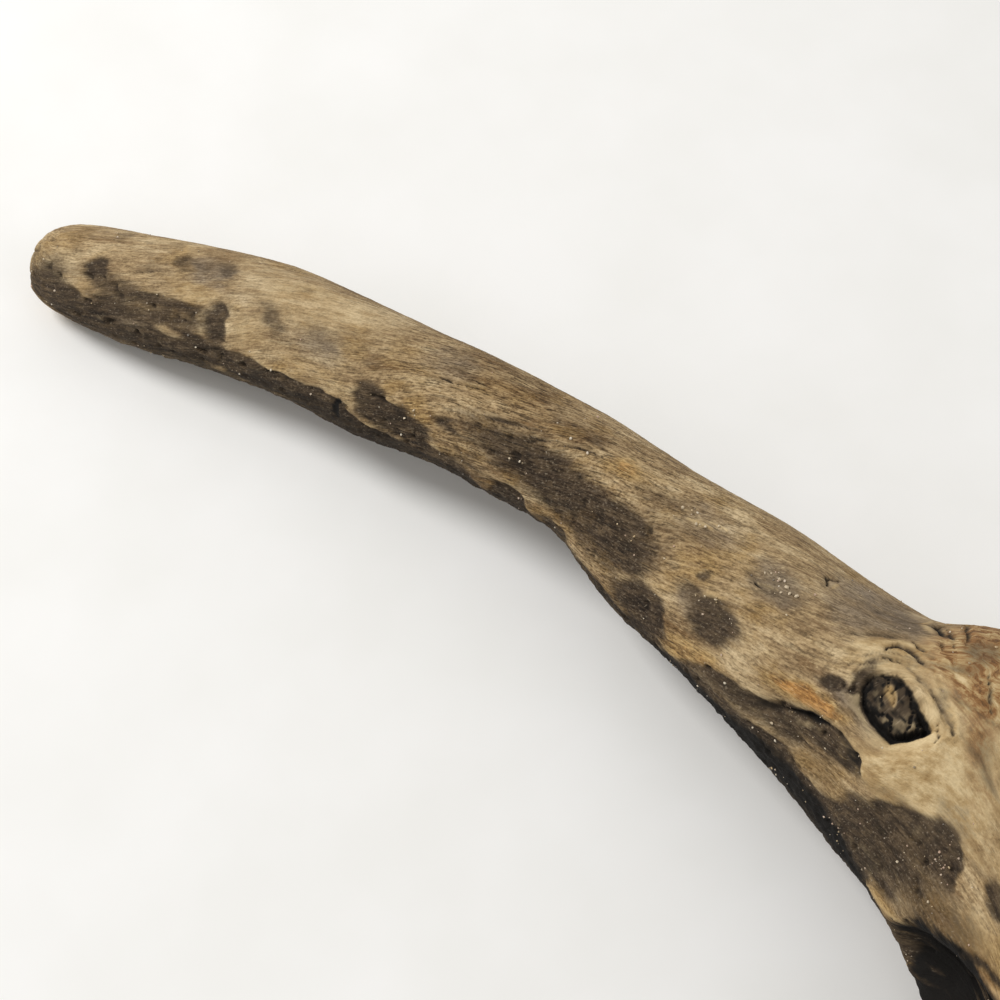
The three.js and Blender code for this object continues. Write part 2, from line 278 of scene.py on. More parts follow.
PATCHES: tuple[Patch, ...] = (
    # the worn tip and the dark band under the limb
    Patch(Tint.STAIN, 16, 80, 12, 5.0, 0.85, soft=0.3),
    Patch(Tint.STAIN, 8, 62, 6, 4.6, 0.5, soft=0.6),
    Patch(Tint.STAIN, 14, 44, 10, 5.0, 0.34, soft=0.6),
    Patch(Tint.STAIN, 34, 78, 20, 3.9, 0.9, soft=0.22),
    Patch(Tint.STAIN, 34, 57, 14, 2.6, 0.45, soft=0.6),
    Patch(Tint.STAIN, 34, 47, 14, 2.3, 0.6, soft=0.35),
    Patch(Tint.STAIN, 33, 38, 12, 1.0, 0.45, soft=0.6),
    Patch(Tint.STAIN, 10.5, 48, 2.6, 4.2, 0.4, soft=0.6),
    Patch(Tint.RUST, 38, 46, 9, 2.2, 0.4, soft=0.6),
    Patch(Tint.ASH, 29, 70, 5, 1.6, 0.8, soft=0.5),
    Patch(Tint.CLEAN, 29, 70, 3.6, 1.2, 0.4, soft=0.6),
    Patch(Tint.CLEAN, 37.5, 68, 2.6, 1.2, 0.6, soft=0.6),
    Patch(Tint.STAIN, 55, 84, 6, 3.6, 0.85, soft=0.28),
    Patch(Tint.STAIN, 68, 89, 13, 4, 0.97, soft=0.15),
    Patch(Tint.PITCH, 74.6, 82, 0.7, 2.6, 0.9, soft=0.4),
    Patch(Tint.STAIN, 82, 60, 4.2, 3.6, 0.9, soft=0.3),
    Patch(Tint.STAIN, 89, 73, 7, 4, 0.92, soft=0.25),
    Patch(Tint.STAIN, 98, 86, 8, 3, 0.85),
    Patch(Tint.STAIN, 82, 102, 12, 3.2, 0.95),
    Patch(Tint.CLEAN, 86, 85, 5, 1.0, 0.6, soft=0.6),
    Patch(Tint.STAIN, 27, 33, 7, 1.5, 0.6, turn=8, soft=0.6),
    Patch(Tint.STAIN, 38, 36, 7, 1.2, 0.4, turn=4, soft=0.6),
    Patch(Tint.STAIN, 19.7, 24, 2.4, 3.0, 0.9, turn=20, soft=0.5),
    Patch(Tint.STAIN, 47.9, 43, 2.5, 4.0, 0.92, soft=0.4),
    Patch(Tint.CLEAN, 18.6, 47, 2.6, 1.9, 0.8, soft=0.5),
    Patch(Tint.CREAM, 18.6, 47, 2.4, 1.8, 0.3, soft=0.5),
    Patch(Tint.RUST, 18, 50, 3.0, 2.4, 0.4, soft=0.6),
    Patch(Tint.RUST, 9, 14, 5, 4, 0.4, soft=0.6),
    Patch(Tint.RUST, 12, -14, 2.6, 4.0, 0.6, soft=0.6),
    Patch(Tint.STAIN, 12, -16, 2.0, 3.6, 0.33, soft=0.6),
    Patch(Tint.STAIN, 13.5, 8, 1.6, 1.6, 0.3, soft=0.6),
    Patch(Tint.STAIN, 21, -33, 2.4, 2.8, 0.42, soft=0.6),
    Patch(Tint.STAIN, 32.5, -30, 1.6, 1.8, 0.36, soft=0.6),
    Patch(Tint.RUST, 33.5, -26, 2.4, 3.0, 0.5, soft=0.6),
    # the pale upper side of the limb
    Patch(Tint.ASH, 56, -8, 34, 11, 0.34, soft=0.6),
    Patch(Tint.STAIN, 36.5, -10, 1.7, 2.8, 0.52, soft=0.6),
    Patch(Tint.RUST, 36.5, -6, 2.2, 3.4, 0.5, soft=0.6),
    Patch(Tint.STAIN, 29.5, 8, 2.6, 1.8, 0.34, soft=0.6),
    Patch(Tint.ASH, 42.5, -8, 4.6, 3.4, 0.75, soft=0.45),
    Patch(Tint.STAIN, 45.5, -15, 2.0, 2.2, 0.5, soft=0.5),
    Patch(Tint.STAIN, 59, 23, 4.4, 1.9, 0.55, turn=32, soft=0.6),
    Patch(Tint.ASH, 69, 30, 5, 2.6, 0.6, soft=0.6),
    Patch(Tint.STAIN, 69, 21, 4.4, 2.2, 0.36, turn=10, soft=0.6),
    Patch(Tint.CREAM, 40, -30, 12, 3.0, 0.4, soft=0.6),
    Patch(Tint.CREAM, 42, 22, 6, 2.2, 0.5, soft=0.6),
    Patch(Tint.CREAM, 55, 40, 3.6, 3.4, 0.5, soft=0.6),
    Patch(Tint.RUST, 69, 58, 9, 2.2, 0.4, soft=0.6),
    Patch(Tint.CREAM, 66, -8, 15, 6, 0.5, soft=0.6),
    Patch(Tint.ASH, 93, -10, 5, 4.5, 0.5, soft=0.6),
    Patch(Tint.RUST, 84, 8, 4, 4, 0.4, soft=0.6),
    Patch(Tint.RUST, 92, 50, 4, 1.8, 0.6, soft=0.6),
    Patch(Tint.STAIN, 97, 47, 2.4, 1.0, 0.5, soft=0.6),
    Patch(Tint.RUST, 106, -8, 8, 3.4, 0.45, soft=0.6),
    Patch(Tint.STAIN, 108, -32, 9, 3.4, 0.28, soft=0.6),
    Patch(Tint.STAIN, 120, -10, 7, 3.4, 0.3, soft=0.6),
    Patch(Tint.RUST, 113, 54, 2.4, 1.8, 0.84, turn=24, soft=0.5),
    Patch(Tint.RUST, 131, 0, 4.4, 2.0, 0.74, turn=-14, soft=0.6),
    Patch(Tint.RUST, 132, -3, 3.0, 1.8, 0.4, turn=30, soft=0.6),
    Patch(Tint.CREAM, 132, -8, 4, 2, 0.4, soft=0.6),
    # the long dark zone before the bend
    Patch(Tint.STAIN, 112, 36, 13, 4.2, 0.6, soft=0.55),
    Patch(Tint.STAIN, 126, 40, 17, 4.8, 0.74, soft=0.4),
    Patch(Tint.STAIN, 140, 41, 8.4, 5.0, 0.66, soft=0.35),
    Patch(Tint.STAIN, 123, 53, 4, 1.8, 0.7, soft=0.5),
    Patch(Tint.STAIN, 143, 50, 4.4, 2.2, 0.7, soft=0.45),
    Patch(Tint.STAIN, 135, 66, 8, 2.2, 0.6, soft=0.6),
    Patch(Tint.STAIN, 104, 68, 5, 2, 0.4, soft=0.6),
    Patch(Tint.STAIN, 150, 67, 5, 3.5, 0.82, soft=0.3),
    Patch(Tint.STAIN, 114, 85, 4.2, 3.9, 0.97, soft=0.16),
    Patch(Tint.STAIN, 124.5, 84, 4.8, 2.3, 0.8, soft=0.35),
    Patch(Tint.STAIN, 162.2, 45, 4.8, 3.9, 0.8, soft=0.34),
    Patch(Tint.STAIN, 165, 40, 3.2, 2.4, 0.5, turn=20, soft=0.6),
    Patch(Tint.STAIN, 155.5, 38, 3, 2.0, 0.5, soft=0.6),
    Patch(Tint.ASH, 157, 40, 3.4, 3.4, 0.6, soft=0.5),
    Patch(Tint.STAIN, 156, 23, 1.4, 1.2, 0.6, soft=0.5),
    Patch(Tint.STAIN, 144, 6, 9, 4.6, 0.34, soft=0.6),
    Patch(Tint.ASH, 150, -6, 7, 4.4, 0.5, soft=0.5),
    Patch(Tint.ASH, 166, 0, 5.4, 4.6, 0.7, soft=0.45),
    Patch(Tint.STAIN, 167, 0, 5, 4, 0.34, soft=0.6),
    Patch(Tint.RUST, 154, 22, 5, 3.4, 0.6, turn=24, soft=0.6),
    Patch(Tint.RUST, 158, 8, 7, 2.4, 0.45, turn=-20, soft=0.6),
    Patch(Tint.STAIN, 149, 76, 7, 3.4, 0.8, soft=0.35),
    Patch(Tint.RUST, 161, 69, 8, 2.4, 0.76, turn=-12, soft=0.5),
    Patch(Tint.RUST, 146, 88, 8, 1.4, 0.4, soft=0.6),
    Patch(Tint.STAIN, 154, 92, 9, 2.2, 0.95, turn=-14, soft=0.2),
    # the bend, the knot and the scoops under it
    Patch(Tint.ASH, 180, -32, 10, 9.6, 0.78, soft=0.4),
    Patch(Tint.RUST, 176, -22, 7, 2.4, 0.35, turn=-12, soft=0.6),
    Patch(Tint.STAIN, 182, -31, 8, 7, 0.26, soft=0.5),
    Patch(Tint.RUST, 181, 40, 7.5, 1.9, 1.0, turn=-14, soft=0.5),
    Patch(Tint.RUST, 184, 38, 8.5, 1.7, 0.8, turn=-14, soft=0.6),
    Patch(Tint.CREAM, 188, -4, 7, 5.0, 0.75, soft=0.5),
    Patch(Tint.CREAM, 206, 18, 12, 7.0, 0.95, soft=0.4),
    Patch(Tint.CREAM, 200, 40, 9, 3.4, 0.8, turn=-10, soft=0.4),
    Patch(Tint.RUST, 204, 42, 6.5, 1.6, 0.6, turn=-20, soft=0.6),
    Patch(Tint.STAIN, 202, 45, 4.5, 1.2, 0.34, turn=-24, soft=0.6),
    Patch(Tint.STAIN, 207, 37, 3.4, 1.2, 0.3, turn=-20, soft=0.6),
    Patch(Tint.BURL, 203, -10, 5, 2.8, 0.6, turn=30, soft=0.6),
    Patch(Tint.BURL, 211, 0, 7, 2.6, 0.6, turn=16, soft=0.6),
    Patch(Tint.STAIN, 208, -5, 5, 1.6, 0.32, turn=20, soft=0.6),
    Patch(Tint.ASH, 190, 26, 7.5, 2.6, 0.9, soft=0.45),
    Patch(Tint.STAIN, 184, 25, 1.4, 1.6, 0.9, soft=0.4),
    Patch(Tint.STAIN, 187, 14, 1.6, 3.4, 0.7, turn=12, soft=0.5),
    Patch(Tint.STAIN, 172, 76, 14, 4.2, 0.8, turn=-14, soft=0.2),
    Patch(Tint.STAIN, 187, 53, 11, 2.5, 0.88, turn=-9, soft=0.28),
    # black along the first scoop's upper rim: painted shadow cast by the rim
    Patch(Tint.PITCH, 184.5, 47, 3.4, 1.2, 0.7, turn=-24, soft=0.6),
    Patch(Tint.PITCH, 194.5, 46, 1.8, 1.5, 0.6, turn=30, soft=0.6),
    Patch(Tint.PITCH, 177, 61, 3.0, 0.9, 0.5, turn=-30, soft=0.6),
    Patch(Tint.CLEAN, 196, 69, 9, 3.0, 0.85, turn=-10, soft=0.5),
    Patch(Tint.RUST, 194, 68, 9, 2.6, 0.7, turn=-12, soft=0.6),
    Patch(Tint.STAIN, 190, 70, 9, 3.4, 0.42, turn=-12, soft=0.6),
    Patch(Tint.CLEAN, 178, 78, 12, 1.8, 0.5, turn=-8, soft=0.6),
    Patch(Tint.STAIN, 217, 45, 9.5, 6.2, 0.74, turn=-10, soft=0.3),
    Patch(Tint.STAIN, 220, 31, 6.5, 3.8, 0.86, turn=14, soft=0.22),
    Patch(Tint.STAIN, 209, 48, 5, 2.8, 0.95, turn=-30, soft=0.3),
    Patch(Tint.STAIN, 206, 66, 8, 5.4, 0.9, soft=0.3),
    Patch(Tint.STAIN, 214, 66, 11, 5.0, 0.8, soft=0.3),
    Patch(Tint.STAIN, 204, 78, 9, 3.0, 0.95, soft=0.3),
    Patch(Tint.STAIN, 211, 38, 4, 1.4, 0.8, turn=-46, soft=0.5),
    Patch(Tint.CLEAN, 227, 44, 4.6, 3.0, 0.6, soft=0.6),
    Patch(Tint.CLEAN, 224, 60, 4.0, 2.4, 0.5, soft=0.6),
    # the black underside of the bend, past the ridge along its lower side: painted shade over damp stain
    Patch(Tint.STAIN, 202, 86, 16, 3.6, 0.97, soft=0.18),
    Patch(Tint.STAIN, 176, 97, 27, 6, 0.99, turn=-5, soft=0.14),
    Patch(Tint.STAIN, 182, 116, 36, 8, 0.7, turn=-4, soft=0.6),
    Patch(Tint.STAIN, 206, 112, 18, 5, 0.6, turn=6, soft=0.6),
    Patch(Tint.PITCH, 176, 100, 24, 5.0, 0.62, turn=-6, soft=0.5),
    Patch(Tint.PITCH, 203, 93, 13, 3.4, 0.62, turn=5, soft=0.5),
    Patch(Tint.CLEAN, 190, 112, 7, 1.4, 0.4, turn=10, soft=0.6),
    Patch(Tint.STAIN, 231, 13, 3.6, 1.4, 0.8, soft=0.4),
    Patch(Tint.CREAM, 222, 4, 10, 5, 0.5, soft=0.5),
    Patch(Tint.CREAM, 235, 32, 6, 3.4, 0.6, soft=0.5),
    Patch(Tint.RUST, 231, 46, 5, 3, 0.7, soft=0.5),
    Patch(Tint.RUST, 226, 52, 6, 4.4, 0.6, soft=0.6),
    Patch(Tint.STAIN, 225, 54, 6, 3.6, 0.34, soft=0.6),
    Patch(Tint.STAIN, 230, 46, 9, 5.0, 0.5, turn=-20, soft=0.6),
    Patch(Tint.RUST, 247, 30, 13, 6.5, 0.72, soft=0.6),
    Patch(Tint.STAIN, 243, 32, 11, 3.4, 0.3, turn=-10, soft=0.6),
    Patch(Tint.RUST, 240, 36, 8, 4.6, 0.5, soft=0.6),
    Patch(Tint.CLEAN, 223, 81, 6, 0.9, 0.95, turn=-18, soft=0.4),
    Patch(Tint.CREAM, 223, 81, 6, 0.7, 0.4, turn=-18, soft=0.4),
    Patch(Tint.RUST, 223, 80, 7, 1.4, 0.7, turn=-18, soft=0.6),
    # the rot hollow under the stump: dark rot, blacked inside by painted shade
    Patch(Tint.STAIN, 254, 91, 28, 15, 0.93, turn=4, soft=0.14),
    Patch(Tint.STAIN, 276, 96, 16, 8, 0.6, turn=10, soft=0.6),
    Patch(Tint.STAIN, 268, 60, 14, 2.4, 0.5, turn=-6, soft=0.6),
    Patch(Tint.PITCH, 243, 85, 17, 14.0, 0.97, turn=6, soft=0.12),
    Patch(Tint.PITCH, 264, 92, 16, 8, 0.6, turn=8, soft=0.5),
    # the burl
    Patch(Tint.BURL, 199, -36, 10, 11, 1.0, soft=0.35),
    Patch(Tint.BURL, 211, -34, 8, 6, 0.7, soft=0.6),
    Patch(Tint.BURL, 198, -15, 6, 2.6, 0.8, soft=0.5),
    Patch(Tint.STAIN, 197, -27, 3.0, 2.2, 0.5, turn=40, soft=0.6),
    Patch(Tint.STAIN, 203, -38, 2.4, 3.4, 0.45, turn=20, soft=0.6),
    Patch(Tint.STAIN, 213, -22, 2.2, 4.2, 0.45, turn=-10, soft=0.6),
    Patch(Tint.CREAM, 200, -19, 4, 1.8, 0.6, turn=50, soft=0.6),
    Patch(Tint.CREAM, 208, -10, 9, 3.6, 0.6, turn=12, soft=0.6),
    Patch(Tint.RUST, 214, -14, 6, 3.4, 0.6, soft=0.6),
    # sides away from the light
    Patch(Tint.ASH, 60, -110, 30, 8, 0.5, soft=0.6),
    Patch(Tint.STAIN, 96, -98, 15, 2.4, 0.55, turn=8, soft=0.6),
    Patch(Tint.STAIN, 128, -120, 20, 4, 0.75, turn=-6, soft=0.5),
    Patch(Tint.STAIN, 141, -104, 9, 1.6, 0.6, turn=10, soft=0.6),
    Patch(Tint.RUST, 150, -92, 12, 3, 0.5, soft=0.6),
    Patch(Tint.ASH, 172, -100, 16, 9, 0.5, soft=0.6),
    Patch(Tint.STAIN, 214, -100, 20, 3.4, 0.6, turn=8, soft=0.6),
    Patch(Tint.STAIN, 226, -88, 10, 1.6, 0.75, turn=-10, soft=0.5),
    Patch(Tint.CREAM, 236, -40, 14, 9, 0.5, soft=0.6),
    Patch(Tint.STAIN, 262, -78, 16, 2.6, 0.7, turn=6, soft=0.5),
    Patch(Tint.STAIN, 256, -66, 7, 1.2, 0.6, turn=-8, soft=0.6),
    Patch(Tint.ASH, 268, -24, 14, 7, 0.6, soft=0.6),
    Patch(Tint.RUST, 252, -52, 12, 3, 0.5, turn=5, soft=0.6),
)


@dataclass(frozen=True)
class Stroke:
    """One line on the surface: a crack, a cleft, a fold or a rim."""

    places: tuple[tuple[float, float], ...]  # along and around of each place it runs through
    width: float  # half its width
    height: float  # how far it stands up; below 0 it is cut in
    tint: Tint
    strength: float


STROKES: tuple[Stroke, ...] = (
    # drying cracks on the upper side
    Stroke(((96, 9), (99, 4), (101.5, 1)), 0.28, -0.3, Tint.PITCH, 0.5),
    Stroke(((95.4, 7), (101, -1)), 0.4, 0.2, Tint.CREAM, 0.6),
    Stroke(((93, 12), (95, 10)), 0.3, -0.3, Tint.STAIN, 0.8),
    Stroke(((99, -3), (100.4, -4)), 0.5, -0.5, Tint.PITCH, 0.8),
    Stroke(((104, 23), (108, 17), (112, 12)), 0.3, -0.35, Tint.STAIN, 0.8),
    Stroke(((113, 18), (120, 9), (126.5, 1)), 0.3, -0.35, Tint.STAIN, 0.75),
    Stroke(((104.6, 21), (112.8, 10)), 0.5, 0.2, Tint.CREAM, 0.4),
    Stroke(((114, 15.5), (121, 7)), 0.4, 0.2, Tint.CREAM, 0.5),
    Stroke(((136, 2), (143, -8), (149, -15)), 0.4, 0.15, Tint.CREAM, 0.5),
    Stroke(((163, 9), (166, 8)), 0.5, -0.5, Tint.PITCH, 0.8),
    Stroke(((157, 38), (158.5, 31), (160, 26)), 0.45, 0.2, Tint.CREAM, 0.8),
    Stroke(((143.6, -3), (145.6, -5), (147.6, -8)), 0.8, 0.3, Tint.CREAM, 1.0),
    Stroke(((146.8, 2), (149, -1), (151, -4)), 0.9, 0.3, Tint.CREAM, 1.0),
    Stroke(((150, -8), (153, -11)), 0.6, 0.2, Tint.CREAM, 0.9),
    Stroke(((135, -9), (141, -15)), 0.6, 0.2, Tint.CREAM, 0.7),
    Stroke(((158.4, 33), (160, 31), (161.6, 27)), 0.9, 0.3, Tint.CREAM, 1.0),
    Stroke(((164, 7), (167, 3)), 0.7, 0.2, Tint.CREAM, 0.8),
    # drying cracks on the sides away from the light
    Stroke(((50, -84), (66, -92), (84, -98)), 0.4, -0.5, Tint.PITCH, 0.7),
    Stroke(((118, -66), (136, -76), (152, -86)), 0.4, -0.5, Tint.PITCH, 0.7),
    Stroke(((222, -50), (240, -56), (262, -58), (276, -64)), 0.4, -0.6, Tint.PITCH, 0.65),
    Stroke(((236, -98), (252, -104), (270, -106)), 0.45, -0.6, Tint.PITCH, 0.75),
    Stroke(((244, 4), (262, 0), (284, -4)), 0.45, -0.6, Tint.PITCH, 0.7),
    # folds over the knot, like an eyelid, and the clefts between them and the burl
    Stroke(((181, 8), (184, -5), (187, -14), (190, -16), (196, -6), (204, 1)), 0.9, 0.45, Tint.CREAM, 0.8),
    Stroke(((184, 8), (186.5, -1), (190, -4), (197, -2), (205, 4)), 0.4, -0.22, Tint.STAIN, 0.55),
    Stroke(((186, -5), (187, -11), (189.5, -12), (192.5, -10)), 0.35, -0.4, Tint.STAIN, 0.95),
    Stroke(((188, -19), (189.5, -16), (191.5, -14)), 0.35, -0.35, Tint.STAIN, 0.9),
    Stroke(((179, 2), (182, -8), (185, -16), (187.5, -21)), 0.5, -0.25, Tint.STAIN, 0.35),
    Stroke(((188.8, -50), (188, -42), (189.6, -34), (192.4, -21)), 0.45, -0.6, Tint.PITCH, 0.8),
    Stroke(((189.8, -38), (191.2, -31), (193.6, -23)), 0.3, -0.4, Tint.STAIN, 0.9),
    Stroke(((193, -58), (190.8, -50), (192.2, -38), (194.6, -26)), 0.36, -0.45, Tint.PITCH, 0.6),
    Stroke(((189, -66), (187.4, -58), (188.6, -52)), 0.4, -0.35, Tint.STAIN, 0.6),
    Stroke(((186.8, -52), (186.2, -42), (188.4, -30), (191.6, -18), (198, -7)), 0.7, 0.35, Tint.CREAM, 0.7),
    Stroke(((200, -19), (202, -15), (205, -12)), 0.3, -0.2, Tint.STAIN, 0.6),
    Stroke(((200, 3), (203, 6), (204, 11)), 0.5, 0.35, Tint.RUST, 0.7),
    Stroke(((200.8, 5), (202.6, 8), (203, 11)), 0.3, -0.3, Tint.STAIN, 0.8),
    Stroke(((171.5, -24), (170.4, -30), (171.8, -38)), 0.45, -0.35, Tint.STAIN, 0.85),
    Stroke(((172.4, -24), (172.2, -31)), 0.8, 0.15, Tint.CREAM, 0.7),
    # the rims of the scoops; the dark lines under the first scoop's overhanging upper rim are painted shadow
    # over stain
    Stroke(((172, 68), (177, 61), (181, 54), (185, 46), (190, 42), (195, 43), (198, 48)),
           0.85, -0.4, Tint.STAIN, 0.85),
    Stroke(((179, 57), (183, 50), (186, 45), (188.6, 43)), 0.45, -0.35, Tint.PITCH, 0.75),
    Stroke(((206, 44), (211, 32), (216, 20), (225, 15)), 0.8, 0.15, Tint.CREAM, 0.25),
    Stroke(((152, 90), (160, 81), (165, 74), (170, 66)), 0.7, 0.3, Tint.RUST, 0.4),
    Stroke(
        ((52, 57), (56, 61), (60, 70), (66, 69), (74, 66), (78, 58), (82, 45), (85, 51), (92, 58), (100, 74)),
        0.5, 0.2, Tint.CREAM, 0.35,
    ),
    Stroke(((216, 88), (221, 84), (225, 79), (228, 72)), 0.7, 0.35, Tint.CREAM, 0.5),
    Stroke(((226, 76), (231, 66), (235, 55), (241, 32), (250, 18), (262, 12)), 0.8, 0.5, Tint.RUST, 0.8),
    Stroke(((227, 70), (231, 59), (234, 48), (239, 29), (247, 16)), 0.5, -0.2, Tint.STAIN, 0.75),
)


@dataclass
class Surface:
    """The surface as a grid of rings and sides round the middle line, read from the solid, then worked on."""

    middle: MiddleLine
    tip_heart: float = 8.0  # where the rays that sweep the worn tip start
    break_heart: float = 280.0  # the same for the broken end
    tip_rings: int = 26
    break_rings: int = 65
    sweep: float = math.pi / 2 * 0.995  # how far the rays of the ends turn, just short of straight ahead
    coarse: float = 0.5  # ring spacing
    fine: float = 0.36  # ring spacing round the bend and the knot
    fine_from: float = 158.0
    fine_to: float = 246.0
    sides: int = 280
    facet_passes: int = 14  # how often the radius is smoothed to take the solid's facets off
    mean_passes: int = 10  # how often the mean radius is smoothed

    def __post_init__(self) -> None:
        """Lays out the rays: where each starts, and which way it goes."""
        body = [self.tip_heart]
        while body[-1] < self.break_heart:
            body.append(body[-1] + (self.fine if self.fine_from < body[-1] < self.fine_to else self.coarse))
        tip = np.linspace(-self.sweep, 0.0, self.tip_rings, endpoint=False)
        end = np.linspace(0.0, self.sweep, self.break_rings + 1)[1:]
        starts = np.concatenate([np.full(len(tip), body[0]), body, np.full(len(end), body[-1])])
        tilt = np.concatenate([tip, np.zeros(len(body)), end])
        self.degrees = np.linspace(-180.0, 180.0, self.sides, endpoint=False)
        ahead, side, top = self.middle.directions(starts)
        turn = np.radians(self.degrees)[None, :, None]
        across = side[:, None] * np.sin(turn) + top[:, None] * np.cos(turn)
        self.rays = across * np.cos(tilt)[:, None, None] + ahead[:, None] * np.sin(tilt)[:, None, None]
        self.starts = self.middle.centre(starts)[:, None, :] + np.zeros_like(self.rays)
        self.start_along, self.tilt = starts[:, None], tilt[:, None]
        self.rings = len(starts)

    def read(self, solid: bpy.types.Mesh) -> None:
        """Measures the solid along every ray, and takes its facets off.

        Args:
            solid: The mesh of the solid, in metres.
        """
        corners = np.empty(len(solid.vertices) * 3, dtype=np.float32)
        solid.vertices.foreach_get("co", corners)
        faces = [tuple(p.vertices) for p in solid.polygons]
        tree = BVHTree.FromPolygons([Vector(c) for c in corners.reshape(-1, 3) / MM], faces)
        found = np.full((self.rings, self.sides), np.nan)
        for i in range(self.rings):
            for j in range(self.sides):
                hit = tree.ray_cast(Vector(self.starts[i, j]), Vector(self.rays[i, j]))
                if hit[0] is not None:
                    found[i, j] = hit[3]
        found[np.isnan(found)] = float(np.nanmean(found))
        self.radius = self.blurred(found, self.facet_passes)

    def blurred(self, values: np.ndarray, times: int) -> np.ndarray:
        """Smooths values over the grid.

        Args:
            values: One number per ring and side.
            times: How often each value is averaged with its neighbours.

        Returns:
            The smoothed values.
        """
        for _ in range(times):
            values = (np.roll(values, 1, 1) + 2 * values + np.roll(values, -1, 1)) / 4
            held = np.vstack([values[:1], values, values[-1:]])
            values = (held[:-2] + 2 * held[1:-1] + held[2:]) / 4
        return values

    def place(self) -> None:
        """Works out where each point of the grid lies on the wood, and how far from the middle line."""
        self.along = self.start_along + self.radius * np.sin(self.tilt)
        self.around = self.degrees[None, :] + np.zeros_like(self.radius)
        flat = self.radius * np.cos(self.tilt)
        self.mean = self.blurred(np.repeat(flat.mean(1, keepdims=True), self.sides, 1), self.mean_passes)
        self.per_degree = self.mean * math.pi / 180.0
        # on the ends, the radius of the rim that they start from, and the share of it that each point is out
        body = np.flatnonzero(self.tilt[:, 0] == 0)
        self.rim = np.where(self.tilt < 0, self.radius[body[0]], self.radius[body[-1]])
        self.share = np.where(self.tilt == 0, 1.0, np.clip(flat / self.rim, 0.0, 1.0))

    def points(self) -> np.ndarray:
        """Gives every point of the grid in mm."""
        return self.starts + self.rays * self.radius[..., None]

    def normals(self) -> np.ndarray:
        """Works out which way the surface faces.

        Returns:
            The outward direction at every point of the grid, of length 1.
        """
        p = self.points()
        across = np.roll(p, -1, 1) - np.roll(p, 1, 1)
        onward = np.empty_like(p)
        onward[1:-1] = p[2:] - p[:-2]
        onward[0], onward[-1] = p[1] - p[0], p[-1] - p[-2]
        return unit(np.cross(across, onward))

    def from_place(self, along: float, around: float) -> tuple[np.ndarray, np.ndarray]:
        """Gives the distance of every point from a place, in mm along and across."""
        return self.along - along, wrapped(self.around - around) * self.per_degree

    def from_line(
        self, start: tuple[float, float], end: tuple[float, float], bend: tuple[Any, Any] = (0.0, 0.0)
    ) -> np.ndarray:
        """Gives the distance of every point from the straight line between two places.

        Args:
            start: Along and around of the first place.
            end: The same of the second.
            bend: What is added to the distances along and across, to bend the line.

        Returns:
            The distances in mm.
        """
        x, y = self.from_place(*start)
        x, y = x + bend[0], y + bend[1]
        dx, dy = end[0] - start[0], (end[1] - start[1]) * self.per_degree
        t = np.clip((x * dx + y * dy) / (dx * dx + dy * dy), 0, 1)
        return np.hypot(x - t * dx, y - t * dy)


# ---- Finishes ----


@dataclass(frozen=True)
class Figure:
    """A pattern drawn out along the grain."""

    length: float  # of one mark, along the grain
    width: float  # of one mark, across it
    layers: float  # of finer marks in it
    rough: float = 0.62  # how strong the finer ones are


FIGURES: dict[str, Figure] = {
    "fibres": Figure(3.4, 0.42, 3.0),  # the real ones lie 0.3 to 0.5 apart
    "hairs": Figure(1.3, 0.27, 2.0, 0.65),  # drawn twice as coarse as the real hairs so that they show
    "streaks": Figure(12.0, 1.5, 4.0),  # one to a few growth rings wide
    "clouds": Figure(15.0, 7.0, 5.0, 0.66),  # where the sun and the damp have reached
    "warmth": Figure(9.0, 6.0, 4.0, 0.6),
    "mottle": Figure(3.2, 1.9, 5.0, 0.72),
    "crumbs": Figure(0.5, 0.38, 2.0, 0.7),  # single tufts of worn fibre
    "slits": Figure(2.8, 0.3, 1.0, 0.5),  # where the summer wood has worn out between two fibres
}


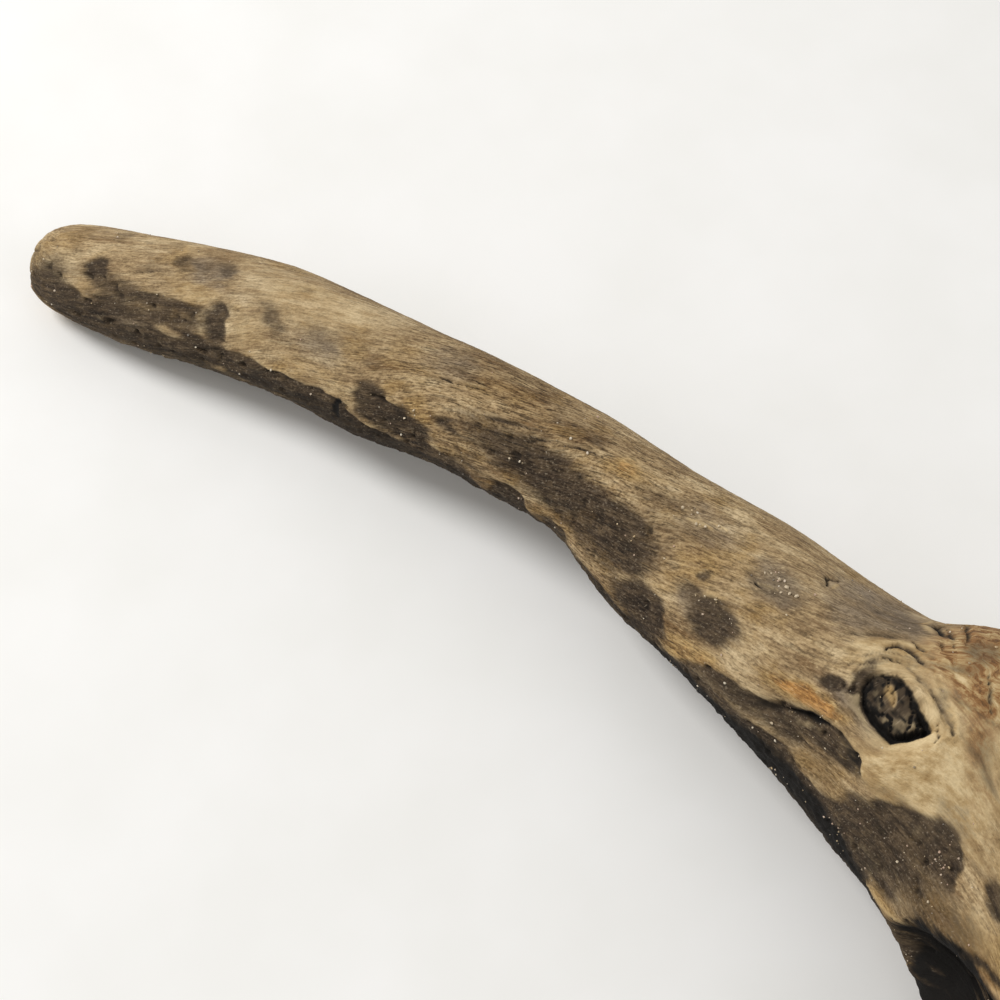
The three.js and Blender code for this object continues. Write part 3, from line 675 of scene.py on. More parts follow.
@dataclass(frozen=True)
class WeatheredWood:
    """Bare softwood, worn by sand and surf and bleached by the sun: dull, fibrous, no bark or finish left.

    The winter wood of each ring stands up as a hair-fine fibre and the summer wood between is gone, which
    gives the eye close silky lines along the grain. Rot and tannin leave the brown-black stains.
    """

    pale: str = "#d2bb94"
    tan: str = "#b69c75"
    dull: str = "#9b8260"
    brown: str = "#7e6241"
    # the next colour is also the dark of the painted shade in the troughs
    stain_and_shade_dark: str = "#2a231c"
    stain_mid: str = "#463a2e"
    stain_light: str = "#6b5a45"
    ash_pale: str = "#9e8e7a"
    ash_dark: str = "#756450"
    ochre_dark: str = "#8b6c43"
    ochre: str = "#a3834f"
    ochre_pale: str = "#c2a26d"
    orange_dark: str = "#a26a34"
    orange: str = "#cb9758"
    cream: str = "#dcc498"
    cream_dull: str = "#b99d70"
    cream_dark: str = "#97794e"
    burl: str = "#8f673f"
    burl_dark: str = "#5a3f28"
    pitch: str = "#14110e"
    dust: str = "#a39580"
    line_dark: str = "#776f65"
    line_dull: str = "#ccc7bf"
    roughness: float = 0.86
    gloss: float = 0.22  # specular level: dry and open, with half the glint of sound wood
    bump: float = 0.9
    fibre_height: float = 0.4

    def make(self) -> bpy.types.Material:
        """Builds the material.

        Returns:
            The material, which reads the grain and tint attributes of the mesh.
        """
        material = bpy.data.materials.new("weathered_softwood_surf_worn")
        material.use_nodes = True
        tree = material.node_tree
        tree.nodes.clear()
        node = partial(add_node, tree)
        names = ("shade", "relief", *(tint.value for tint in Tint if tint is not Tint.CLEAN))
        painted = {name: node("ShaderNodeAttribute", {}, "Fac", attribute_name=name) for name in names}
        grain = node("ShaderNodeAttribute", {}, "Vector", attribute_name="grain")
        seen = {}
        for name, f in FIGURES.items():
            marks = (1 / f.length, 1 / f.width, 1 / f.width)
            place = node("ShaderNodeVectorMath", {0: grain, 1: marks}, operation="MULTIPLY")
            drawn = {"Vector": place, "Scale": 1.0, "Detail": f.layers, "Roughness": f.rough}
            seen[name] = node("ShaderNodeTexNoise", drawn)
        # sums of the patterns and of what is painted on the mesh, each by weight
        blends = {}
        for name, parts in (
            ("tone", ((seen["clouds"], 0.6), (seen["streaks"], 0.4), (painted["shade"], -0.12))),
            ("speckle", ((seen["mottle"], 0.7), (seen["fibres"], 0.3))),
            ("soft", ((seen["clouds"], 0.35), (seen["mottle"], 0.4), (seen["warmth"], 0.25))),
            ("rot", ((seen["mottle"], 0.6), (seen["streaks"], 0.4))),
            ("lines", ((seen["fibres"], 0.36), (seen["hairs"], 0.34), (seen["crumbs"], 0.3))),
            ("stain", ((seen["mottle"], 1.0), (seen["fibres"], 0.7), (painted["stain"], 1.0))),
            ("pitch", ((seen["mottle"], 0.7), (seen["fibres"], 0.5), (painted["pitch"], 1.0))),
            ("bare", ((painted["cream"], 1.0), (painted["burl"], 0.8))),
            ("height", ((seen["fibres"], 0.6), (seen["hairs"], 0.35), (seen["crumbs"], 0.3))),
        ):
            total: Any = 0.0
            for pattern, weight in parts:
                total = node("ShaderNodeMath", {0: pattern, 1: weight, 2: total}, operation="MULTIPLY_ADD")
            blends[name] = total
        # how much of each layer shows: between two values of its source it goes from one amount to another
        graded = {}
        for name, source, low, high, to_low, to_high in (
            ("warm", seen["warmth"], 0.5, 0.68, 0.0, 0.55),
            ("stain", blends["stain"], 0.9, 1.75, 0.0, 0.97),
            ("pitch", blends["pitch"], 0.85, 1.4, 0.0, 1.0),
            ("bare", blends["bare"], 0.0, 1.0, 1.0, 0.25),
            ("gaping", painted["shade"], 0.0, 0.5, 0.4, 1.0),
            ("lines", painted["shade"], 0.0, 0.5, 0.7, 1.0),
            ("slits", seen["slits"], 0.58, 0.74, 0.0, 0.55),
            ("hairs", seen["hairs"], 0.58, 0.74, 0.0, 0.4),
            ("dust", seen["crumbs"], 0.58, 0.74, 0.0, 0.5),
            # the next two are painted shade with dirt in the troughs, and a painted highlight with wear on
            # the crests
            ("dirt_and_shade", painted["relief"], 0.48, 0.05, 0.0, 0.7),
            ("rubbed_and_highlight", painted["relief"], 0.56, 0.95, 0.0, 0.4),
        ):
            span = {"Value": source, "From Min": low, "From Max": high, "To Min": to_low, "To Max": to_high}
            graded[name] = node("ShaderNodeMapRange", span, interpolation_type="SMOOTHSTEP")
        # the polished wood by the knot and the burl has few lines, slits or hairs, the slits gape most where
        # the limb is driest, and the finest sand stays in the rot
        for name, by in (
            ("lines", "bare"),
            ("slits", "bare"),
            ("hairs", "bare"),
            ("slits", "gaping"),
            ("dust", "stain"),
        ):
            graded[name] = node("ShaderNodeMath", {0: graded[name], 1: graded[by]}, operation="MULTIPLY")
        colour = node("ShaderNodeValToRGB", {"Fac": blends["tone"]},
                      stops=((0.34, self.brown), (0.42, self.dull), (0.49, self.tan), (0.58, self.pale)))
        layers = {0: graded["warm"], 6: colour, 7: linear(self.ochre)}
        colour = node("ShaderNodeMix", layers, 2, data_type="RGBA")
        # each tint over the last, broken up by the mottling so that no edge is airbrushed
        burl = ((0.38, self.burl_dark), (0.46, self.burl), (0.55, self.cream_dull), (0.64, self.cream))
        cream = ((0.42, self.cream_dark), (0.49, self.cream_dull), (0.57, self.cream))
        for name, blend, spread, low, high, stops in (
            ("ash", "soft", 0.5, 0.05, 1.0, ((0.4, self.ash_dark), (0.6, self.ash_pale))),
            ("cream", "soft", 0.6, 0.05, 1.0, cream),
            ("rust", "speckle", 0.8, 0.05, 1.0, ((0.4, self.ochre_dark), (0.6, self.ochre_pale))),
            ("rust", "speckle", 0.6, 0.78, 1.1, ((0.4, self.orange_dark), (0.6, self.orange))),
            ("burl", "speckle", 0.7, 0.05, 1.0, burl),
        ):
            mixed = {0: seen["mottle"], 1: spread, 2: painted[name]}
            edge = node("ShaderNodeMath", mixed, operation="MULTIPLY_ADD")
            span = {"Value": edge, "From Min": low + spread / 2, "From Max": high + spread / 2}
            amount = node("ShaderNodeMapRange", span, interpolation_type="SMOOTHSTEP")
            look = node("ShaderNodeValToRGB", {"Fac": blends[blend]}, stops=stops)
            colour = node("ShaderNodeMix", {0: amount, 6: colour, 7: look}, 2, data_type="RGBA")
        rot = node("ShaderNodeValToRGB", {"Fac": blends["rot"]},
                   stops=((0.38, self.stain_and_shade_dark), (0.48, self.stain_mid), (0.62, self.stain_light)))
        lines = node("ShaderNodeValToRGB", {"Fac": blends["lines"]},
                     stops=((0.4, self.line_dark), (0.48, self.line_dull), (0.56, "#ffffff")))
        # then pale hairs, the stain, the shade between the fibres, slits where the soft wood is gone, fine
        # sand, dirt and painted shade in the hollows, crests rubbed pale and given a painted highlight, and
        # pitch
        for amount, layer, how in (
            (graded["hairs"], linear(self.cream), "MIX"),
            (graded["stain"], rot, "MIX"),
            (graded["lines"], lines, "MULTIPLY"),
            (graded["slits"], linear(self.stain_and_shade_dark), "MIX"),
            (graded["dust"], linear(self.dust), "MIX"),
            (graded["dirt_and_shade"], linear(self.stain_and_shade_dark), "MIX"),
            (graded["rubbed_and_highlight"], linear(self.cream), "MIX"),
            (graded["pitch"], linear(self.pitch), "MIX"),
        ):
            layers = {0: amount, 6: colour, 7: layer}
            colour = node("ShaderNodeMix", layers, 2, data_type="RGBA", blend_type=how)
        cut = {0: graded["slits"], 1: -0.8, 2: blends["height"]}
        height = node("ShaderNodeMath", cut, operation="MULTIPLY_ADD")
        raised = {"Height": height, "Strength": self.bump, "Distance": self.fibre_height * MM}
        bump = node("ShaderNodeBump", raised)
        wood = {"Base Color": colour, "Roughness": self.roughness, "Normal": bump}
        surface = node("ShaderNodeBsdfPrincipled", {**wood, "Specular IOR Level": self.gloss})
        node("ShaderNodeOutputMaterial", {"Surface": surface})
        return material


@dataclass(frozen=True)
class QuartzSand:
    """Beach sand, broken quartz and feldspar rolled by the sea.

    The frosted grains are white, honey, rose or smoky, and glint dully against the wood.
    """

    clear: str = "#d8ccb7"
    honey: str = "#c4aa80"
    rose: str = "#c2a58f"
    smoke: str = "#7d746a"
    roughness: float = 0.42
    ior: float = 1.54
    bump: float = 0.4
    frost: float = 0.3  # size of one chip out of a grain
    frost_height: float = 0.08

    def make(self) -> bpy.types.Material:
        """Builds the material.

        Returns:
            The material, which gives each grain its own colour from the mesh's "kind" number.
        """
        material = bpy.data.materials.new("quartz_sand_sea_rolled")
        material.use_nodes = True
        tree = material.node_tree
        tree.nodes.clear()
        node = partial(add_node, tree)
        kind = node("ShaderNodeAttribute", {}, "Fac", attribute_name="kind")
        colour = node("ShaderNodeValToRGB", {"Fac": kind},
                      stops=((0.1, self.smoke), (0.3, self.honey), (0.6, self.clear), (0.9, self.rose)))
        place = node("ShaderNodeTexCoord", {}, "Object")
        frost = node("ShaderNodeTexNoise", {"Vector": place, "Scale": 1 / (self.frost * MM), "Detail": 2.0})
        raised = {"Height": frost, "Strength": self.bump, "Distance": self.frost_height * MM}
        bump = node("ShaderNodeBump", raised)
        quartz = {"Base Color": colour, "Roughness": self.roughness, "IOR": self.ior, "Normal": bump}
        surface = node("ShaderNodeBsdfPrincipled", quartz)
        node("ShaderNodeOutputMaterial", {"Surface": surface})
        return material


@dataclass(frozen=True)
class StudioPaper:
    """Matt white background paper, off the roll: an even pale sheet with only a trace of tooth."""

    white: str = "#f3f2f0"
    shade: str = "#efeeeb"
    roughness: float = 0.95
    gloss: float = 0.1
    tooth: float = 1000.0 / 30.0  # drawn as faint clouds: the real tooth is far too fine to show

    def make(self) -> bpy.types.Material:
        """Builds the material.

        Returns:
            The material.
        """
        material = bpy.data.materials.new("studio_paper_matt")
        material.use_nodes = True
        tree = material.node_tree
        tree.nodes.clear()
        node = partial(add_node, tree)
        place = node("ShaderNodeTexCoord", {}, "Object")
        tooth = node("ShaderNodeTexNoise", {"Vector": place, "Scale": 1 / (self.tooth * MM), "Detail": 3.0})
        colour = node("ShaderNodeValToRGB", {"Fac": tooth}, stops=((0.35, self.shade), (0.65, self.white)))
        paper = {"Base Color": colour, "Roughness": self.roughness, "Specular IOR Level": self.gloss}
        surface = node("ShaderNodeBsdfPrincipled", paper)
        node("ShaderNodeOutputMaterial", {"Surface": surface})
        return material


# ---- The driftwood ----


@dataclass(frozen=True)
class Relief:
    """How far each mark of age stands up from the surface, or is cut into it."""

    lumps: float = 0.32  # slow swellings
    flutes: float = 0.1  # worn along the grain
    cords: float = 0.08  # finer, between the flutes
    tooth: float = 0.05  # too fine to follow the grain
    burl: float = 0.12  # knobs in the curly wood
    cracks: float = 0.22  # opened as the wood dried
    rot: float = 0.38  # gone where the wood is stained
    crumb: float = 0.26  # how rough the rot is
    holes: float = 0.7  # in the rot
    clefts: float = 0.5  # where the wood is black
    tip_wear: float = 1.5  # off the very tip
    ribs: float = 1.5  # in the hollow
    rib_crumb: float = 0.6  # how rough they are
    steps: float = 0.7  # across the old break
    late_wood: float = 0.42  # the hard outer part of each growth ring
    checks: float = 1.4  # in the break
    torn: float = 0.16  # roughness of the break
    knot_sunk: float = 0.6  # the dead core has shrunk
    knot_rough: float = 0.4
    knot_splits: float = 0.6
    folds: float = 0.16  # round the knot
    collar: float = 0.2  # at the edge of its gap


@dataclass
class Driftwood:
    """The wood: the solid's shape, with the grain, stains, cracks, knot and break worked into the surface."""

    grain_angle: float = 14.5  # the fibres' turn round the limb, in degrees from its length
    trunk_angle: float = 5.0  # the same on the thick stump
    knot: tuple[float, float] = (194.3, 13.5)  # along and around of its middle
    knot_edge: tuple[tuple[float, float], ...] = (
        (187.7, 12.0),
        (188.8, 5.6),
        (190.6, 1.8),
        (193.0, 1.6),
        (196.2, 5.4),
        (200.7, 9.3),
        (200.2, 14.5),
        (199.2, 19.5),
        (197.8, 24.6),
        (193.4, 25.2),
        (190.0, 22.0),
        (188.3, 17.0),
    )
    heart: tuple[float, float] = (192.3, 11.0)  # what is still sound in the knot
    gap_width: float = 0.5  # half the gap round the knot
    gap_depth: float = 2.2
    fold_width: float = 1.25  # from one fold by the knot to the next
    ring_width: float = 2.3  # between growth rings on the old break
    pith: tuple[float, float] = (3.0, -2.0)  # the heart of the rings, aside from and above the middle line
    checks: int = 7  # cracks that run out from it
    burl: tuple[float, float] = (203.0, -48.0)  # along and around of its middle
    hollow_around: float = 88.0  # the middle of the rotted hollow
    relief: Relief = Relief()
    seed: int = 11

    def __post_init__(self) -> None:
        """Lays out the surface round the middle line, and draws the noise."""
        self.surface = Surface(MiddleLine())
        self.noise, self.other = Noise(self.seed), Noise(self.seed + 1)

    def build(self, solid: bpy.types.Mesh) -> bpy.types.Object:
        """Builds the wood.

        Args:
            solid: The mesh of the solid.

        Returns:
            The finished object.
        """
        self.surface.read(solid)
        self.surface.place()
        self.clear_knot()
        self.lay_grain()
        self.tint()
        self.carve()
        return self.mesh()

    def clear_knot(self) -> None:
        """Levels the ground under the knot, which is then cut afresh."""
        s = self.surface
        x, y = s.from_place(*self.knot)
        level_passes, longer = 220, 1.2  # the levelled ground is longer along the wood than across
        level = s.blurred(s.radius, level_passes)
        s.radius += (level - s.radius) * smooth(np.hypot(x, y * longer), 11.0, 6.5)

    def knot_ground(self) -> tuple[np.ndarray, np.ndarray]:
        """Gives each point's place round the knot.

        Returns:
            The distance outside the knot's edge in mm, less than 0 inside, and the angle round the knot.
        """
        s = self.surface
        away = np.full_like(s.radius, FAR)
        inside = np.zeros(s.radius.shape, dtype=bool)
        for start, end in zip(self.knot_edge, self.knot_edge[1:] + self.knot_edge[:1]):
            away = np.minimum(away, s.from_line(start, end))
            x, y = s.from_place(*start)
            dx, dy = end[0] - start[0], (end[1] - start[1]) * s.per_degree
            crossed = (y < 0) != (y < dy)
            inside ^= crossed & (x < y * dx / np.where(dy == 0, TINY, dy))
        x, y = s.from_place(*self.knot)
        longer = 1.7  # the knot is longer along the wood than across
        return np.where(inside, -away, away), np.arctan2(y * longer, x)

    def lay_grain(self) -> None:
        """Lays the fibres: a slow spiral round the limb, past the knot like water, and curled in the burl."""
        s = self.surface
        start = s.start_along[:, 0]
        lean = self.grain_angle + (self.trunk_angle - self.grain_angle) * smooth(start, 205.0, 250.0)
        step = np.diff(start, prepend=start[0])
        thinnest = 6.0  # a thinner tip doesn't wind the spiral tighter
        spiral = np.cumsum(step * np.tan(np.radians(lean)) / np.maximum(s.mean[:, 0], thinnest))
        # the fibres part before the knot and close behind it
        x, y = s.from_place(*self.knot)
        lean_here = math.radians(self.grain_angle)
        across = x * math.sin(lean_here) + y * math.cos(lean_here)
        reach = np.hypot(x, y) + TINY
        knot_radius = 4.6
        push = -across * np.minimum((knot_radius / reach) ** 2, 1.0) * smooth(reach, 24.0, 10.0)
        # they wander slowly everywhere, and wildly in the burl
        turn = np.radians(s.around)
        drift = 1.3 * self.noise.at(np.stack([s.along / 22, np.cos(turn) * 1.2, np.sin(turn) * 1.2], -1))
        self.curl = smooth(np.hypot(*s.from_place(*self.burl)), 17.0, 8.0)
        p = s.points()
        curls = self.curl * 3.0 * self.noise.layered(p / 5.0, 3)
        turned = turn + spiral[:, None] + (push + drift + curls) / np.maximum(s.mean, 5.0)
        girth = (12.0 + 5.0 * smooth(s.along, 110.0, 230.0)) * s.share
        shift = self.curl * 7.0 * self.other.layered(p / 3.6, 3)
        self.grain = np.stack([s.along + shift, girth * np.cos(turned), girth * np.sin(turned)], -1)

    def along_grain(
        self, length: float, width: float, layers: int = 2, noise: Noise | None = None
    ) -> np.ndarray:
        """Gives noise drawn out along the grain.

        Args:
            length: Its size along the grain.
            width: Its size across.
            layers: As for Noise.layered().
            noise: Which noise, or the first one.

        Returns:
            About -1 to 1 at each point.
        """
        return (noise or self.noise).layered(self.grain / (length, width, width), layers)

    def tint(self) -> None:
        """Paints the patches and strokes, whose edges follow the fibres, the damp underside, and painted
        shade along its lower rim.
        """
        s = self.surface
        self.tints = {kind: np.zeros_like(s.radius) for kind in Tint}
        self.lines = np.zeros_like(s.radius)
        # how far the edges stray along the wood and across it
        frayed = 2.0 * self.along_grain(9.0, 3.5, 3) + 0.5 * self.along_grain(2.0, 0.9, 2)
        waved = 1.1 * self.along_grain(10.0, 3.0, 3, self.other)
        waved = waved + 0.45 * self.along_grain(4.0, 0.8, 2, self.other)
        blotch = np.clip(1 + 0.35 * self.noise.layered(s.points() / 5.0, 3), 0.6, 1.1)
        for patch in PATCHES:
            x, y = s.from_place(patch.along, patch.around)
            x, y = x + frayed, y + waved
            turn = math.radians(patch.turn)
            u, v = x * math.cos(turn) + y * math.sin(turn), y * math.cos(turn) - x * math.sin(turn)
            reach = np.hypot(u / patch.length, v / patch.width)
            amount = np.clip(patch.strength * blotch * smooth(reach, 1 + patch.soft, 1 - patch.soft), 0, 1)
            if patch.tint is Tint.CLEAN:
                self.tints[Tint.STAIN] *= 1 - amount
                self.tints[Tint.PITCH] *= 1 - amount
            else:
                self.add_tint(patch.tint, amount)
        # strokes break off here and there, but not in the burl, and thin out to their ends
        unbroken = np.maximum(smooth(self.along_grain(12, 6, 2), -0.55, -0.1), 0.8 * self.curl)
        bend = (frayed * 0.3, waved * 0.6)
        for stroke in STROKES:
            near = np.full_like(s.radius, FAR)
            for start, end in zip(stroke.places, stroke.places[1:]):
                near = np.minimum(near, s.from_line(start, end, bend))
            tail = np.minimum(*(np.hypot(*s.from_place(*stroke.places[n])) for n in (0, -1)))
            taper = 0.4 + 0.6 * smooth(tail, 0.0, 3.0)
            shape = np.exp(-((near / (stroke.width * taper)) ** 2)) * unbroken
            self.lines += stroke.height * shape
            self.add_tint(stroke.tint, stroke.strength * shape)
        # the side that lay in the wet sand is darker
        under = smooth(np.abs(wrapped(s.around - 145)) + 14 * self.along_grain(20, 5, 2), 66.0, 42.0)
        self.add_tint(Tint.STAIN, 0.7 * under * smooth(s.along, 4.0, 16.0) * smooth(s.along, 290.0, 270.0))
        # a black band along the lower rim: partly stain, partly painted shade
        edge = smooth(np.abs(wrapped(s.around - 108)) + 8 * self.along_grain(14, 4, 2), 34.0, 14.0)
        self.add_tint(Tint.PITCH, 0.5 * edge * smooth(s.along, 10.0, 40.0) * smooth(s.along, 240.0, 215.0))

    def add_tint(self, kind: Tint, amount: np.ndarray) -> None:
        """Adds to a tint without going over 1."""
        self.tints[kind] = 1 - (1 - self.tints[kind]) * (1 - np.clip(amount, 0, 1))

    def carve(self) -> None:
        """Works the relief into the surface, and keeps how high each point stands for the finish."""
        s, cut = self.surface, self.relief
        p = s.points()
        stain, pitch = self.tints[Tint.STAIN], self.tints[Tint.PITCH]
        wild = 1 + 0.5 * self.curl  # the burl is rougher
        height = cut.lumps * self.along_grain(22, 11, 2)
        height += cut.flutes * wild * self.along_grain(16, 2.4, 3)
        height += cut.cords * wild * self.along_grain(5, 1.0, 2, self.other)
        height += cut.tooth * self.other.layered(p / 1.1, 2)
        height += cut.burl * self.curl * self.noise.layered(p / 2.6, 3)
        # drying cracks follow the grain
        split = np.abs(self.along_grain(18, 3.6, 1, self.other))
        cracked = smooth(split, 0.16, 0.02) * smooth(self.along_grain(22, 8, 1), 0.1, 0.4)
        height -= cut.cracks * cracked
        self.add_tint(Tint.STAIN, 0.35 * cracked)
        # the dark rot has gone soft and worn away, pitted like crumb
        pits = self.other.layered(p / 1.9, 3)
        height -= smooth(stain, 0.25, 0.75) * (cut.rot + cut.crumb * pits)
        holes = smooth(self.noise.at(p / 2.1 + 40.0), 0.5, 0.8) * smooth(stain, 0.3, 0.8)
        height -= cut.holes * holes
        height -= cut.clefts * pitch * (1 + 0.7 * pits)
        height += self.lines - cut.tip_wear * smooth(s.along, 4.5, 0.0)
        height += self.carve_knot()
        # the hollow's rotten inside stands in ribs along the grain; the black painted shade is taken off
        # their crests, which show brown
        ribs = self.along_grain(14, 2.4, 3)
        within = smooth(wrapped(s.around - self.hollow_around) ** 2, 55.0**2, 35.0**2)
        rotten = smooth(stain, 0.4, 0.9) * smooth(s.along, 222.0, 234.0) * within
        height += rotten * (cut.ribs * ribs + cut.rib_crumb * pits)
        self.tints[Tint.PITCH] *= 1 - 0.7 * rotten * smooth(ribs, 0.05, 0.5)
        height += self.carve_break()
        # how far each point stands above the ground near it, for the painted shade with dirt in the troughs
        # and the painted highlight with wear on the crests; held back in the hollow, where nothing rubs
        ground_passes = 30
        self.stands = (height - s.blurred(height, ground_passes)) * (1 - 0.85 * rotten)
        s.radius = s.radius + height

    def carve_break(self) -> np.ndarray:
        """Works the old break: worn steps where the fibres tore, growth rings, and checks out from the heart.

        Returns:
            The height to add at each point.
        """
        s, cut = self.surface, self.relief
        p = s.points()
        ahead = s.middle.directions(np.array([s.break_heart]))[0]
        face = s.blurred(smooth((s.normals() * ahead).sum(-1), 0.35, 0.8) * (s.tilt > 0.2), 3)
        turn = np.radians(s.around)
        flat = s.share * s.rim
        side, top = flat * np.sin(turn), flat * np.cos(turn)
        # the rings run round the pith inside, and with the outline further out
        heart = np.hypot(side - self.pith[0], top - self.pith[1])
        growth = (0.5 * heart + 0.5 * s.share * s.rim.mean()) / self.ring_width
        growth += 0.3 * self.noise.layered(p / 8.0, 2)
        late = smooth(growth % 1.0, 0.35, 0.8) * smooth(growth % 1.0, 1.0, 0.9)
        torn = np.stack([side / 8.0, top / 4.0, np.zeros_like(side)], -1) + 5.0
        torn = 2.8 * self.other.layered(torn, 3)
        steps = np.floor(torn) + smooth(torn - np.floor(torn), 0.15, 0.85)
        rng = np.random.default_rng(self.seed)
        check = np.zeros_like(flat)
        for n in range(self.checks):
            angle = 360.0 * (n + rng.uniform(-0.3, 0.3)) / self.checks + 14.0 * self.noise.at(p / 7.0 + n)
            off = np.radians(wrapped(s.around - angle)) * flat
            starts, gape = rng.uniform(1.0, 9.0), rng.uniform(0.2, 0.5)
            width = 0.16 + gape * s.share
            opened = np.exp(-((off / width) ** 2)) * smooth(flat, starts, starts + 3.0)
            check = np.maximum(check, opened)
        self.add_tint(Tint.ASH, 0.3 * face)
        self.add_tint(Tint.STAIN, face * (0.1 + 0.62 * late))
        self.add_tint(Tint.PITCH, 0.9 * face * check)
        rough = self.other.layered(p / 1.0, 2)
        return face * (cut.steps * steps + cut.late_wood * late - cut.checks * check + cut.torn * rough)

    def carve_knot(self) -> np.ndarray:
        """Cuts the gap round the knot, and raises the folds beside it.

        Returns:
            The height to add at each point.
        """
        s, cut = self.surface, self.relief
        p = s.points()
        off, angle = self.knot_ground()
        off = off + 0.3 * self.noise.layered(p / 2.2, 2)
        # the gap gapes towards the trunk, and is shut at the back
        far_side = smooth(np.cos(angle - 0.55), -0.5, 0.7)
        width = self.gap_width * (0.6 + 0.7 * far_side)
        gap = np.exp(-((off / width) ** 2)) * (0.35 + 0.65 * far_side)
        inside = smooth(off, 0.5, -0.5)
        core = inside * (-cut.knot_sunk + cut.knot_rough * self.noise.layered(p / 1.5, 3))
        split = smooth(np.abs(self.other.at(p / 2.6)), 0.13, 0.03) * inside
        core -= cut.knot_splits * split
        # folds lie over it on the upper side
        folds = np.cos((off - 0.8) * math.tau / self.fold_width)
        folds = folds * smooth(off, 7.5, 3.0) * smooth(off, 0.6, 2.2)
        upper = smooth(np.cos(angle + 1.9), -0.5, 0.6)
        # a warm, sound heart is left in the rotten core
        x, y = s.from_place(*self.heart)
        slant, rise = 0.72, 0.69  # it lies across the grain
        long, short = (x * slant + y * rise) / 2.1, (y * slant - x * rise) / 1.1
        heart = smooth(np.hypot(long, short), 1.3, 0.7)
        dark = smooth(self.noise.layered(p / 1.3 + 3.0, 2), -0.1, 0.5)
        self.tints[Tint.PITCH] *= 1 - inside
        self.tints[Tint.STAIN] *= 1 - inside
        self.add_tint(Tint.STAIN, 0.95 * inside * (1 - heart))
        self.add_tint(Tint.RUST, 0.75 * inside * heart)
        self.add_tint(Tint.PITCH, 1.15 * gap + inside * (1 - heart) * (0.42 + 0.6 * split + 0.4 * dark))
        self.add_tint(Tint.STAIN, 0.8 * smooth(off, 3.0, 0.4) * smooth(np.cos(angle - 2.7), 0.4, 0.95))
        # darker in the troughs between the folds: painted shade
        self.add_tint(Tint.STAIN, 0.3 * smooth(-folds * upper, 0.35, 0.9))
        collar = smooth(off, 5.0, 1.6) * smooth(off, 0.2, 1.4)
        return core - self.gap_depth * gap + cut.folds * folds * upper + cut.collar * collar

    def mesh(self) -> bpy.types.Object:
        """Makes the mesh from the grid, with the grain and tints on it.

        Returns:
            The object.
        """
        s = self.surface
        points = s.points().reshape(-1, 3)
        clear = 0.02  # what lies flat on the ground stays this far above it
        points[:, 2] = np.maximum(points[:, 2], clear)
        poles = np.array([s.points()[0].mean(0), s.points()[-1].mean(0)])
        points = np.vstack([points, poles]) * MM
        ring = np.arange(s.rings - 1)[:, None] * s.sides
        here, there = np.arange(s.sides), (np.arange(s.sides) + 1) % s.sides
        quads = np.stack([ring + here, ring + s.sides + here, ring + s.sides + there, ring + there], -1)
        quads = quads.reshape(-1, 4)
        last = (s.rings - 1) * s.sides
        tip = np.stack([here, there, np.full(s.sides, s.rings * s.sides)], -1)
        end = np.stack([last + there, last + here, np.full(s.sides, s.rings * s.sides + 1)], -1)
        data = bpy.data.meshes.new("driftwood_limb")
        corners = np.concatenate([quads.ravel(), tip.ravel(), end.ravel()])
        sizes = np.concatenate([np.full(len(quads), 4), np.full(2 * s.sides, 3)])
        data.vertices.add(len(points))
        data.vertices.foreach_set("co", points.ravel())
        data.loops.add(len(corners))
        data.loops.foreach_set("vertex_index", corners)
        data.polygons.add(len(sizes))
        data.polygons.foreach_set("loop_start", np.concatenate([[0], np.cumsum(sizes)[:-1]]))
        data.polygons.foreach_set("loop_total", sizes)
        data.polygons.foreach_set("use_smooth", np.ones(len(sizes), dtype=bool))
        data.update(calc_edges=True)
        data.validate()

        def keep(name: str, values: np.ndarray, kind: str = "FLOAT") -> None:
            """Writes one attribute, with the poles' values taken from the rings next to them.

            Args:
                name: Its name.
                values: One value, or one vector, per ring and side.
                kind: FLOAT for single values, or FLOAT_VECTOR.
            """
            flat = values.reshape(s.rings, s.sides, -1)
            rows = np.vstack([flat.reshape(s.rings * s.sides, -1), flat[0].mean(0), flat[-1].mean(0)])
            made = data.attributes.new(name, kind, "POINT")
            made.data.foreach_set("value" if kind == "FLOAT" else "vector", rows.astype(np.float32).ravel())

        keep("grain", self.grain, "FLOAT_VECTOR")
        relief_range = 1.3  # from the lowest to the highest that the finish tells apart
        keep("relief", np.clip(0.5 + self.stands / relief_range, 0, 1))
        # the middle of the limb and the stump have weathered darker, and the sides are darker than the top
        middle = smooth(np.abs(s.along - 118), 60.0, 10.0)
        sides = smooth(np.cos(np.radians(s.around)), 0.7, 0.0)
        keep("shade", 0.4 * middle + 0.15 * smooth(s.along, 225.0, 260.0) + 0.2 * sides)
        for kind, amount in self.tints.items():
            keep(kind.value, amount)
        made = bpy.data.objects.new("driftwood_limb", data)
        bpy.context.scene.collection.objects.link(made)
        return made


